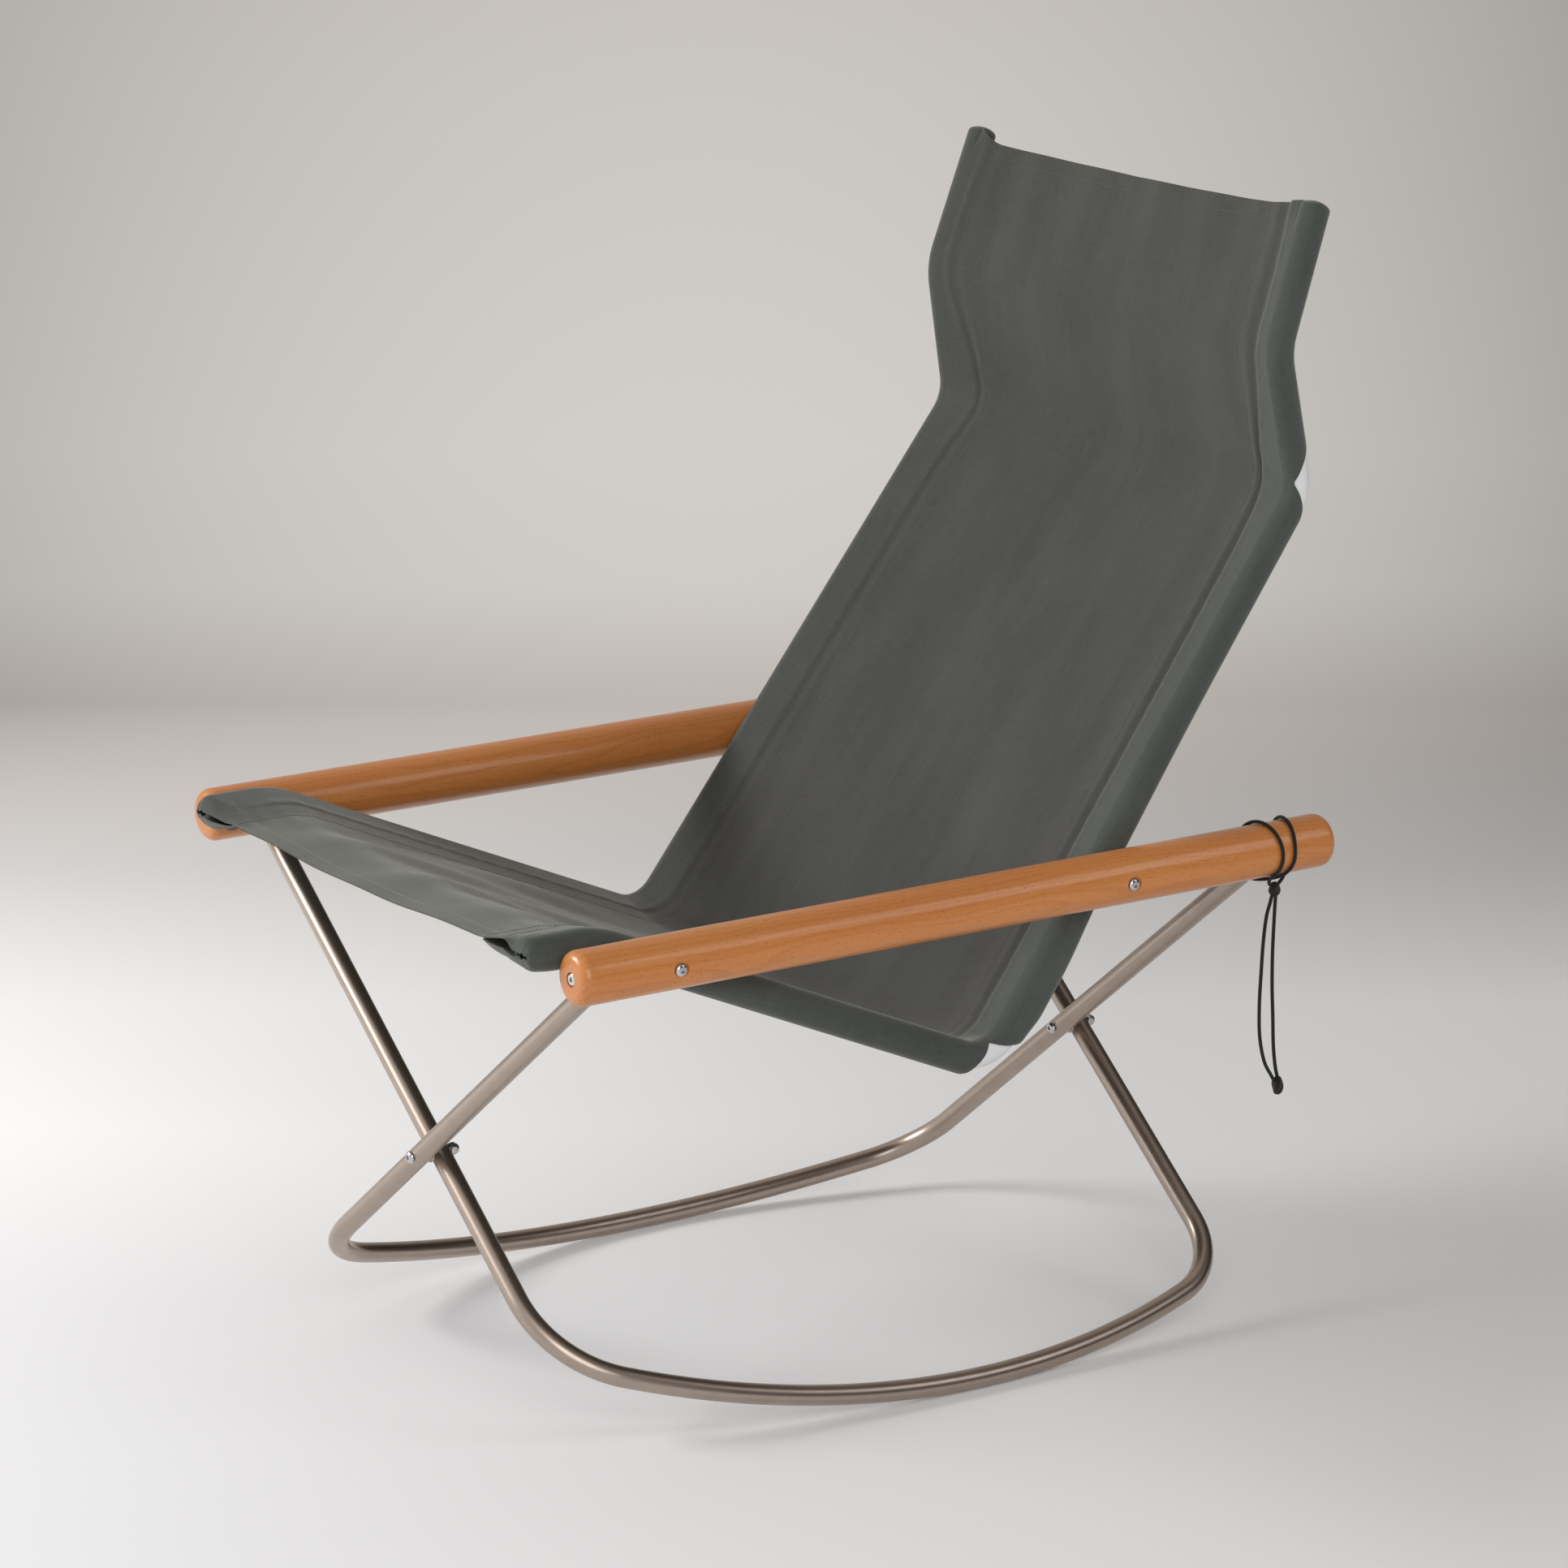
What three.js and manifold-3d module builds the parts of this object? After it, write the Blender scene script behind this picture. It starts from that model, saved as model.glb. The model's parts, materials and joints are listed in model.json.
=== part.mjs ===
// Folding rocking chair. Two flat leg frames of bent steel tube, each with a curved
// runner, cross on two scissor bolts. Their upper ends pivot in slots of two round
// wooden arms. A canvas sling is sewn round two bent side tubes, which are bolted to
// the inner sides of the arms.
// Lengths are in millimetres and angles in degrees. +Z is up, the sitter faces -Y and
// the sitter's left is +X. While the chair is put together, Y is counted from the
// front scissor bolt of the left frame and Z from the scissor bolts.

import * as THREE from 'three';
import { mergeVertices } from 'three/addons/utils/BufferGeometryUtils.js';
import Module from 'manifold-3d';

const wasm = await Module();
wasm.setup();

// Stance
const ARM_SPACING = 571;
const LEAN_OPEN = 52;
const LEAN_FOLDED = 11.2;

// Arms
const ARM_DIAMETER = 44;
const ARM_OVERHANG = 33.8;
const ARM_EDGE_ROUND = 8.5;
const SLOT_CLEARANCE = 0.75;

// Leg frames
const LEG_DIAMETER = 17;
const LEG_WALL = 1.2;
const LEG_PITCH = 636;
const LEG_END_LAP = 9;
const RUNNER_DEPTH = 311;
const RUNNER_RADIUS = 716;
const RUNNER_LOW = 370;
const FRONT_CORNER_RADIUS = 100;
const REAR_CORNER_RADIUS = 70;

// Scissor bolts
const SCISSOR_DIAMETER = 6;
const SCISSOR_HEAD_DIAMETER = 10.5;
const SCISSOR_HEAD_HEIGHT = 3.2;
const SCISSOR_TAIL = 6.5;
const WASHER_DIAMETER = 15;
const WASHER_THICKNESS = 0.8;
const CAP_NUT_WIDTH = 10;
const CAP_NUT_HEX_HEIGHT = 5;
const CAP_NUT_DOME_HEIGHT = 4;

// Arm end screws and the bushes in the leg tops
const SCREW_DIAMETER = 6;
const SCREW_HEAD_DIAMETER = 11;
const SCREW_HEAD_HEIGHT = 3;
const SCREW_BITE = 16;
const SCREW_POINT = 5;
const BUSH_DIAMETER = 10;
const BUSH_PROUD = 0.35;

// Side tubes of the sling
const SIDE_DIAMETER = 22;
const SIDE_WALL = 1.5;
const SIDE_LEAN = 2.3;
const SIDE_DROP = 3.4;
const SIDE_TO_ARM_GAP = 0.5;
const SEAT_SLOPE = 23.5;
const BACK_SLOPE = 53.3;
const NECK_SLOPE = 100;
const HEAD_SLOPE = 70.4;
const FRONT_RISE = 19;
const FRONT_REACH = 11.6;
const NECK_ALONG_BACK = 354;
const NECK_LENGTH = 120;
const HEAD_LENGTH = 116;
const FRONT_BEND_RADIUS = 90;
const SEAT_BEND_RADIUS = 38;
const NECK_BEND_RADIUS = 45;
const HEAD_BEND_RADIUS = 60;
const PLUG_LENGTH = 12;
const PLUG_CAP = 2;

// Side bolts, from the outside of the arm into the side tube
const SIDE_BOLT_FROM_FRONT_LEG = 33.8;
const SIDE_BOLT_FROM_REAR_LEG = 154.6;
const SIDE_BOLT_DIAMETER = 6;
const SIDE_HEAD_DIAMETER = 10.5;
const SIDE_HEAD_HEIGHT = 3;
const SIDE_HEAD_RECESS = 1.4;
const INSERT_DIAMETER = 9;
const INSERT_LENGTH = 10;
const SOCKET_WIDTH = 4;
const SOCKET_DEPTH = 1.8;

// Canvas sling
const CANVAS = 1.2;
const SLEEVE_MOUTH = 10;
const POCKET_DOME = 4;
const SEAM_INSET = 56;
const LAYER_LAP = 7;
const HEM_SHORT = 4;
const SAG_AT_HEMS = 6;
const SAG_AT_MIDDLE = 12;
const NOTCH_BITE = 17;
const NOTCH_LENGTH = 62;
const NECK_NOTCH_RISE = 9;

// Tie cord on the left arm
const CORD_DIAMETER = 3;
const KNOT_DROP = 31.6;
const END_KNOT_DROP = 199.5;
const KNOT_WIDTH = 10;
const KNOT_HEIGHT = 12;
const END_KNOT_WIDTH = 9.5;
const END_KNOT_HEIGHT = 16;

// Clearances and facets
const FIT_GAP = 0.3;
const CUT_OVERRUN = 4;
const SAME_PLACE = 0.0001;
const LEG_SIDES = 14;
const LEG_BORE_SIDES = 10;
const SIDE_SIDES = 12;
const SIDE_BORE_SIDES = 8;
const SLEEVE_SIDES = 12;
const ARM_SIDES = 32;
const BOLT_SIDES = 12;
const HEAD_SIDES = 16;
const EDGE_STEPS = 3;
const DOME_STEPS = 3;
const BEND_STEP_ANGLE = 10;
const RUNNER_STEP_ANGLE = 3.6;

const radians = THREE.MathUtils.degToRad;
const LEFT = 1;
const RIGHT = -1;
const sides = [[LEFT, 'left'], [RIGHT, 'right']];

// Places that follow from the sizes above
const armX = ARM_SPACING / 2;
const armRise = armX / Math.tan(radians(LEAN_OPEN));
const armReach = armX / Math.sin(radians(LEAN_OPEN));
const legRadius = LEG_DIAMETER / 2;
const frameOffset = LEG_DIAMETER + WASHER_THICKNESS + 2 * FIT_GAP;
const armLength = LEG_PITCH + frameOffset + 2 * ARM_OVERHANG;
const armFront = -ARM_OVERHANG;
const armRear = armFront + armLength;
const sideRadius = SIDE_DIAMETER / 2;
const sleeveBore = sideRadius + FIT_GAP;
const sleeveRadius = sleeveBore + CANVAS;
const sideX = armX - ARM_DIAMETER / 2 - SIDE_TO_ARM_GAP - sleeveRadius;
const sideLevel = armRise - SIDE_DROP;
const frontBoltY = frameOffset + SIDE_BOLT_FROM_FRONT_LEG;
const rearBoltY = LEG_PITCH - SIDE_BOLT_FROM_REAR_LEG;

// Finishes
const finish = (color, roughness, metalness) =>
  new THREE.MeshStandardMaterial({ color, roughness, metalness });
const beech = finish(0xc07d46, 0.45, 0);
const nickelledSteel = finish(0xa89b8f, 0.3, 1);
const brightSteel = finish(0xc9c9cc, 0.25, 1);
const nylon = finish(0xdcdad2, 0.6, 0);
const whitePaint = finish(0xe1e1e4, 0.4, 0);
const blackPlastic = finish(0x1c1c1c, 0.6, 0);
const canvas = finish(0x52554f, 0.95, 0);
const cordBlack = finish(0x15120f, 0.8, 0);

// Solids: closed meshes with shared vertices, joined and cut
function solidOf(geometry) {
  const bare = new THREE.BufferGeometry();
  bare.setAttribute('position', geometry.getAttribute('position'));
  bare.setIndex(geometry.getIndex());
  const merged = mergeVertices(bare, SAME_PLACE);
  const corners = merged.getIndex().array;
  const kept = [];
  for (let i = 0; i < corners.length; i += 3) {
    const [a, b, c] = [corners[i], corners[i + 1], corners[i + 2]];
    if (a !== b && b !== c && c !== a) kept.push(a, b, c);
  }
  return new wasm.Manifold(new wasm.Mesh({
    numProp: 3,
    vertProperties: merged.getAttribute('position').array,
    triVerts: new Uint32Array(kept),
  }));
}

function geometryOf(solid) {
  const mesh = solid.getMesh();
  const geometry = new THREE.BufferGeometry();
  geometry.setAttribute('position', new THREE.BufferAttribute(mesh.vertProperties, 3));
  geometry.setIndex(new THREE.BufferAttribute(mesh.triVerts, 1));
  geometry.computeVertexNormals();
  return geometry;
}

function cut(geometry, tools) {
  const whole = tools.reduce((left, tool) => left.subtract(solidOf(tool)), solidOf(geometry));
  return geometryOf(whole);
}

function join(geometries) {
  const solids = geometries.map(solidOf);
  return geometryOf(solids.reduce((sum, next) => sum.add(next)));
}

// A named sub-part at a place in its group
function addPiece(group, name, geometry, material) {
  const mesh = new THREE.Mesh(geometry, material);
  mesh.name = name;
  group.add(mesh);
  return mesh;
}

// A regular polygon's corners, used for tube walls, bores and nuts
function polygon(radius, count) {
  return Array.from({ length: count }, (_, i) => {
    const turn = (2 * Math.PI * i) / count;
    return new THREE.Vector2(radius * Math.cos(turn), radius * Math.sin(turn));
  });
}

function tubeSection(radius, count, bore, boreCount) {
  const section = new THREE.Shape(polygon(radius, count));
  if (bore > 0) section.holes.push(new THREE.Path(polygon(bore, boreCount)));
  return section;
}

// A route in the YZ plane: a station at the ends of each straight and along each bend
class BentRoute extends THREE.Curve {
  constructor(path, step) {
    super();
    this.stations = [];
    for (const piece of path.curves) {
      const turn = piece.isEllipseCurve ? Math.abs(piece.aEndAngle - piece.aStartAngle) : 0;
      const count = Math.max(1, Math.ceil(turn / radians(step)));
      for (let i = 0; i <= count; i++) this.addStation(piece, i / count);
    }
  }

  addStation(piece, share) {
    const point = piece.getPoint(share);
    const tangent = piece.getTangent(share);
    const station = {
      point: new THREE.Vector3(0, point.x, point.y),
      tangent: new THREE.Vector3(0, tangent.x, tangent.y),
    };
    const last = this.stations.at(-1);
    if (!last || last.point.distanceTo(station.point) > SAME_PLACE) this.stations.push(station);
  }

  get steps() {
    return this.stations.length - 1;
  }

  stationAt(share) {
    return this.stations[Math.round(share * this.steps)];
  }

  getPointAt(share, target = new THREE.Vector3()) {
    return target.copy(this.stationAt(share).point);
  }

  getTangentAt(share, target = new THREE.Vector3()) {
    return target.copy(this.stationAt(share).tangent);
  }
}

function sweep(section, route) {
  return new THREE.ExtrudeGeometry(section, { steps: route.steps, extrudePath: route });
}

// A plate of a given outline in XZ, from y to y + depth
function plate(outline, y, depth) {
  const geometry = new THREE.ExtrudeGeometry(outline, { depth, bevelEnabled: false });
  return geometry.rotateX(Math.PI / 2).translate(0, y + depth, 0);
}

// Round bars along Y and along X, by their ends
function barY(radius, from, to, count) {
  const bar = new THREE.CylinderGeometry(radius, radius, to - from, count);
  return bar.translate(0, (from + to) / 2, 0);
}

function barX(radius, from, to, count) {
  const bar = new THREE.CylinderGeometry(radius, radius, Math.abs(to - from), count);
  return bar.rotateZ(Math.PI / 2).translate((from + to) / 2, 0, 0);
}

// A plate of a given outline in YZ, from -reach to +reach along X
function acrossX(outline, reach) {
  const geometry = new THREE.ExtrudeGeometry(outline, { depth: 2 * reach, bevelEnabled: false });
  const turn = new THREE.Matrix4().set(0, 0, 1, -reach, 1, 0, 0, 0, 0, 1, 0, 0, 0, 0, 0, 1);
  return geometry.applyMatrix4(turn);
}

// Quarter-round points from one profile point to the next
function quarter(centreR, centreY, radius, height, start, steps) {
  return Array.from({ length: steps + 1 }, (_, i) => {
    const turn = start + (Math.PI / 2) * (i / steps);
    return new THREE.Vector2(centreR + radius * Math.cos(turn), centreY + height * Math.sin(turn));
  });
}

// A screw or bolt along +Y: a domed head whose seat is at y = 0, and a plain shank
function domedBolt(headRadius, headHeight, radius, length, point, count) {
  const dome = quarter(0, 0, headRadius, headHeight, -Math.PI / 2, DOME_STEPS).slice(1);
  const profile = [
    new THREE.Vector2(0, -headHeight),
    ...dome,
    new THREE.Vector2(radius, 0),
    new THREE.Vector2(radius, length - point),
  ];
  if (point > 0) profile.push(new THREE.Vector2(0, length));
  else profile.push(new THREE.Vector2(0, length - point));
  return new THREE.LatheGeometry(profile, count);
}

function withSocket(geometry, headHeight) {
  const socket = barY(SOCKET_WIDTH / 2, -headHeight - CUT_OVERRUN, SOCKET_DEPTH - headHeight, 6);
  return cut(geometry, [socket]);
}

const chair = new THREE.Group();

// Leg frames. Each is one tube, bent in one plane: front leg, corner, runner, corner,
// rear leg. The route is in the frame's own plane, with Y along the arms and Z from
// the scissor bolts towards the arm.
function cornerCentre(legY, radius) {
  const inset = legY === 0 ? radius : LEG_PITCH - radius;
  const runnerCentre = RUNNER_RADIUS - RUNNER_DEPTH;
  const reach = RUNNER_RADIUS - radius;
  const across = inset - RUNNER_LOW;
  return new THREE.Vector2(inset, runnerCentre - Math.sqrt(reach * reach - across * across));
}

function legRoute() {
  const front = cornerCentre(0, FRONT_CORNER_RADIUS);
  const rear = cornerCentre(LEG_PITCH, REAR_CORNER_RADIUS);
  const centre = new THREE.Vector2(RUNNER_LOW, RUNNER_RADIUS - RUNNER_DEPTH);
  const runnerStart = Math.atan2(front.y - centre.y, front.x - centre.x);
  const runnerEnd = Math.atan2(rear.y - centre.y, rear.x - centre.x);
  const low = -Math.PI / 2;
  const flat = radians(RUNNER_STEP_ANGLE) / 2;
  const top = armReach + LEG_END_LAP;
  const path = new THREE.Path();
  path.moveTo(0, top);
  path.lineTo(0, front.y);
  path.absarc(front.x, front.y, FRONT_CORNER_RADIUS, -Math.PI, runnerStart, false);
  for (const [from, to] of [[runnerStart, low - flat], [low - flat, low + flat], [low + flat, runnerEnd]]) {
    path.absarc(centre.x, centre.y, RUNNER_RADIUS, from, to, false);
  }
  path.absarc(rear.x, rear.y, REAR_CORNER_RADIUS, runnerEnd, 0, false);
  path.lineTo(LEG_PITCH, top);
  return path;
}

// The runner is stepped finer than the corners, because the chair rolls on it. Its
// middle step is centred on its lowest point, so that the chair stands level.
class LegRoute extends BentRoute {
  constructor(path) {
    super(new THREE.Path(), BEND_STEP_ANGLE);
    for (const piece of path.curves) {
      const turn = piece.isEllipseCurve ? Math.abs(piece.aEndAngle - piece.aStartAngle) : 0;
      const step = piece.xRadius === RUNNER_RADIUS ? RUNNER_STEP_ANGLE : BEND_STEP_ANGLE;
      const count = Math.max(1, Math.ceil(turn / radians(step)));
      for (let i = 0; i <= count; i++) this.addStation(piece, i / count);
    }
  }
}

function legFrame() {
  const wall = tubeSection(legRadius, LEG_SIDES, legRadius - LEG_WALL, LEG_BORE_SIDES);
  const tube = sweep(wall, new LegRoute(legRoute()));
  const from = -legRadius - CUT_OVERRUN;
  const to = LEG_PITCH + legRadius + CUT_OVERRUN;
  const scissorHole = barY(SCISSOR_DIAMETER / 2 + FIT_GAP, from, to, BOLT_SIDES);
  const bushHole = barY(BUSH_DIAMETER / 2 + FIT_GAP, from, to, BOLT_SIDES);
  bushHole.translate(0, 0, armReach);
  return cut(tube, [scissorHole, bushHole]);
}

// A plain steel bush crosses each leg top, so that the screw turns in it
function legBush(y) {
  const half = legRadius + BUSH_PROUD;
  const bush = barY(BUSH_DIAMETER / 2, y - half, y + half, BOLT_SIDES);
  const from = y - half - CUT_OVERRUN;
  const to = y + half + CUT_OVERRUN;
  const bore = barY(SCREW_DIAMETER / 2 + FIT_GAP, from, to, BOLT_SIDES);
  return cut(bush, [bore]).translate(0, 0, armReach);
}

const frameY = (side) => (side === LEFT ? 0 : frameOffset);

for (const [side, word] of sides) {
  const frame = new THREE.Group();
  frame.position.y = frameY(side);
  frame.rotation.y = side * radians(LEAN_OPEN);
  addPiece(frame, `leg_frame_${word}`, legFrame(), nickelledSteel);
  addPiece(frame, `leg_bush_${word}_front`, legBush(0), brightSteel);
  addPiece(frame, `leg_bush_${word}_rear`, legBush(LEG_PITCH), brightSteel);
  chair.add(frame);
}

// Scissor bolts: a domed bolt from the front through both frames, a thin washer
// between the tubes and a cap nut behind
function scissorBolt() {
  const length = frameOffset + LEG_DIAMETER + FIT_GAP + SCISSOR_TAIL;
  const radius = SCISSOR_DIAMETER / 2;
  const bolt = domedBolt(SCISSOR_HEAD_DIAMETER / 2, SCISSOR_HEAD_HEIGHT, radius, length, 0, HEAD_SIDES);
  return withSocket(bolt, SCISSOR_HEAD_HEIGHT).translate(0, -legRadius - FIT_GAP, 0);
}

function scissorWasher() {
  const from = legRadius + FIT_GAP;
  const to = from + WASHER_THICKNESS;
  const disc = barY(WASHER_DIAMETER / 2, from, to, HEAD_SIDES);
  const bore = barY(SCISSOR_DIAMETER / 2 + FIT_GAP, from - CUT_OVERRUN, to + CUT_OVERRUN, HEAD_SIDES);
  return cut(disc, [bore]);
}

function capNut() {
  const seat = frameOffset + legRadius + FIT_GAP;
  const hexRadius = CAP_NUT_WIDTH / Math.sqrt(3);
  const hex = barY(hexRadius, seat, seat + CAP_NUT_HEX_HEIGHT, 6);
  const domeRadius = CAP_NUT_WIDTH / 2;
  const inside = seat + CAP_NUT_HEX_HEIGHT - CAP_NUT_DOME_HEIGHT / 2;
  const dome = [
    new THREE.Vector2(0, inside),
    new THREE.Vector2(domeRadius, inside),
    ...quarter(0, seat + CAP_NUT_HEX_HEIGHT, domeRadius, CAP_NUT_DOME_HEIGHT, 0, DOME_STEPS),
  ];
  dome[dome.length - 1].x = 0;
  const whole = join([hex, new THREE.LatheGeometry(dome, HEAD_SIDES)]);
  const tailEnd = frameOffset + legRadius + SCISSOR_TAIL + FIT_GAP;
  const bore = barY(SCISSOR_DIAMETER / 2 + FIT_GAP, seat - CUT_OVERRUN, tailEnd, HEAD_SIDES);
  return cut(whole, [bore]);
}

for (const [y, word] of [[0, 'front'], [LEG_PITCH, 'rear']]) {
  const stack = new THREE.Group();
  stack.position.y = y;
  addPiece(stack, `scissor_bolt_${word}`, scissorBolt(), brightSteel);
  addPiece(stack, `scissor_washer_${word}`, scissorWasher(), nylon);
  addPiece(stack, `scissor_cap_nut_${word}`, capNut(), brightSteel);
  chair.add(stack);
}

// Side tubes. The route is in the tube's own plane, with Z counted from the side
// bolts: a level front end, the seat sloping down to the rear, the back, the neck
// leaning forwards and the head leaning back.
function sideCorners() {
  const seatFall = Math.tan(radians(SEAT_SLOPE));
  const backRise = Math.tan(radians(BACK_SLOPE));
  const bendY = frontBoltY - FRONT_RISE / seatFall;
  const cornerY = (seatFall * frontBoltY + backRise * rearBoltY) / (seatFall + backRise);
  const corner = new THREE.Vector2(cornerY, -seatFall * (cornerY - frontBoltY));
  const along = (start, slope, length) => new THREE.Vector2(
    start.x + length * Math.cos(radians(slope)),
    start.y + length * Math.sin(radians(slope)),
  );
  const neck = along(new THREE.Vector2(rearBoltY, 0), BACK_SLOPE, NECK_ALONG_BACK);
  const head = along(neck, NECK_SLOPE, NECK_LENGTH);
  return {
    front: new THREE.Vector2(armFront - FRONT_REACH, FRONT_RISE),
    bend: new THREE.Vector2(bendY, FRONT_RISE),
    corner,
    neck,
    head,
    top: along(head, HEAD_SLOPE, HEAD_LENGTH),
  };
}

// A fillet between two straights that meet at a corner
function addFillet(path, before, corner, after, radius) {
  const inward = before.clone().sub(corner).normalize();
  const outward = after.clone().sub(corner).normalize();
  const half = inward.angleTo(outward) / 2;
  const start = corner.clone().addScaledVector(inward, radius / Math.tan(half));
  const middle = inward.clone().add(outward).normalize();
  const centre = corner.clone().addScaledVector(middle, radius / Math.sin(half));
  const clockwise = inward.cross(outward) > 0;
  const first = start.clone().sub(centre).angle();
  const turn = Math.PI - 2 * half;
  const last = clockwise ? first - turn : first + turn;
  path.lineTo(start.x, start.y);
  path.absarc(centre.x, centre.y, radius, first, last, clockwise);
}

// The route from a little past the tube's front end to a little past its top
function sideRoute(frontExtra, topExtra) {
  const { front, bend, corner, neck, head, top } = sideCorners();
  const topDirection = top.clone().sub(head).normalize();
  const end = top.clone().addScaledVector(topDirection, topExtra);
  const path = new THREE.Path();
  path.moveTo(front.x - frontExtra, front.y);
  addFillet(path, front, bend, corner, FRONT_BEND_RADIUS);
  addFillet(path, bend, corner, neck, SEAT_BEND_RADIUS);
  addFillet(path, corner, neck, head, NECK_BEND_RADIUS);
  addFillet(path, neck, head, top, HEAD_BEND_RADIUS);
  path.lineTo(end.x, end.y);
  return new BentRoute(path, BEND_STEP_ANGLE);
}

// Holes that the side bolts need, along X at each bolt
function boltBars(radius, from, to) {
  return [frontBoltY, rearBoltY].map((y) => barX(radius, from, to, BOLT_SIDES).translate(0, y, 0));
}

function sideTube(side) {
  const wall = tubeSection(sideRadius, SIDE_SIDES, sideRadius - SIDE_WALL, SIDE_BORE_SIDES);
  const tube = sweep(wall, sideRoute(0, 0));
  const reach = side * (sideRadius + CUT_OVERRUN);
  return cut(tube, boltBars(INSERT_DIAMETER / 2 + FIT_GAP, 0, reach));
}

// A plug closes each end of a side tube, with a thin cap over the tube's edge
function sidePlug() {
  const barrel = (sideRadius - SIDE_WALL) * Math.cos(Math.PI / SIDE_BORE_SIDES) - FIT_GAP;
  const cap = sideRadius;
  const profile = [
    new THREE.Vector2(0, -PLUG_LENGTH),
    new THREE.Vector2(barrel, -PLUG_LENGTH),
    new THREE.Vector2(barrel, FIT_GAP),
    new THREE.Vector2(cap, FIT_GAP),
    new THREE.Vector2(cap, FIT_GAP + PLUG_CAP / 2),
    new THREE.Vector2(cap - PLUG_CAP / 2, FIT_GAP + PLUG_CAP),
    new THREE.Vector2(0, FIT_GAP + PLUG_CAP),
  ];
  return new THREE.LatheGeometry(profile, SIDE_SIDES);
}

// A threaded insert sits in the tube's wall, inside its facets, and holds the side bolt
const insertFace = sideRadius * Math.cos((2 * Math.PI) / SIDE_SIDES);

function threadedInsert(side) {
  const outer = side * insertFace;
  const inner = side * (insertFace - INSERT_LENGTH);
  const barrel = barX(INSERT_DIAMETER / 2, inner, outer, BOLT_SIDES);
  const over = side * CUT_OVERRUN;
  const bore = barX(SIDE_BOLT_DIAMETER / 2 + FIT_GAP, inner - over, outer + over, BOLT_SIDES);
  return cut(barrel, [bore]);
}

// The side bolt's head seats in a shallow round recess in the arm
const headSeat = armX + ARM_DIAMETER / 2 - SIDE_HEAD_RECESS - sideX;

function sideBolt(side) {
  const length = headSeat - insertFace + INSERT_LENGTH - FIT_GAP;
  const radius = SIDE_BOLT_DIAMETER / 2;
  const bolt = domedBolt(SIDE_HEAD_DIAMETER / 2, SIDE_HEAD_HEIGHT, radius, length, 0, HEAD_SIDES);
  const whole = withSocket(bolt, SIDE_HEAD_HEIGHT);
  return whole.rotateZ((side * Math.PI) / 2).translate(side * (headSeat + FIT_GAP), 0, 0);
}

// Canvas sleeve round a side tube: open at the front, a closed pocket at the top, cut away
// outside the seat bend and just above the middle of the neck bend so that it can follow them
function notchTool(before, corner, after, bendRadius, onward) {
  const inward = before.clone().sub(corner).normalize();
  const outward = after.clone().sub(corner).normalize();
  const half = inward.angleTo(outward) / 2;
  const middle = inward.add(outward).normalize();
  const crown = corner.clone().addScaledVector(middle, bendRadius / Math.sin(half) - bendRadius);
  const along = new THREE.Vector2(middle.y, -middle.x);
  const place = crown.clone().addScaledVector(along, onward);
  const apex = place.addScaledVector(middle, NOTCH_BITE - sleeveRadius);
  const depth = NOTCH_BITE + CUT_OVERRUN;
  const base = apex.clone().addScaledVector(middle, -depth);
  const spread = (NOTCH_LENGTH / 2) * (depth / NOTCH_BITE);
  const outline = new THREE.Shape([
    apex,
    base.clone().addScaledVector(along, -spread),
    base.clone().addScaledVector(along, spread),
  ]);
  return acrossX(outline, sleeveRadius + CUT_OVERRUN);
}

function sleeve(side) {
  const { front, bend, corner, neck, head, top } = sideCorners();
  const capTop = FIT_GAP + PLUG_CAP + FIT_GAP;
  const outer = sweep(tubeSection(sleeveRadius, SLEEVE_SIDES, 0, 0), sideRoute(SLEEVE_MOUTH, capTop));
  const boreExtra = SLEEVE_MOUTH + CUT_OVERRUN;
  const bore = sweep(tubeSection(sleeveBore, SLEEVE_SIDES, 0, 0), sideRoute(boreExtra, capTop));
  const lap = POCKET_DOME / 2;
  const profile = [
    new THREE.Vector2(0, -lap),
    new THREE.Vector2(sleeveRadius, -lap),
    ...quarter(0, CANVAS, sleeveRadius, POCKET_DOME, 0, DOME_STEPS),
  ];
  profile[profile.length - 1].x = 0;
  const direction = top.clone().sub(head).normalize();
  const dome = new THREE.LatheGeometry(profile, SLEEVE_SIDES);
  dome.rotateX(direction.angle());
  const end = top.clone().addScaledVector(direction, capTop);
  dome.translate(0, end.x, end.y);
  const boltReach = side * (sleeveRadius + CUT_OVERRUN);
  return cut(join([outer, dome]), [
    bore,
    notchTool(bend, corner, neck, SEAT_BEND_RADIUS, 0),
    notchTool(corner, neck, head, NECK_BEND_RADIUS, NECK_NOTCH_RISE),
    ...boltBars(SIDE_BOLT_DIAMETER / 2 + FIT_GAP, 0, boltReach),
  ]);
}

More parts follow.
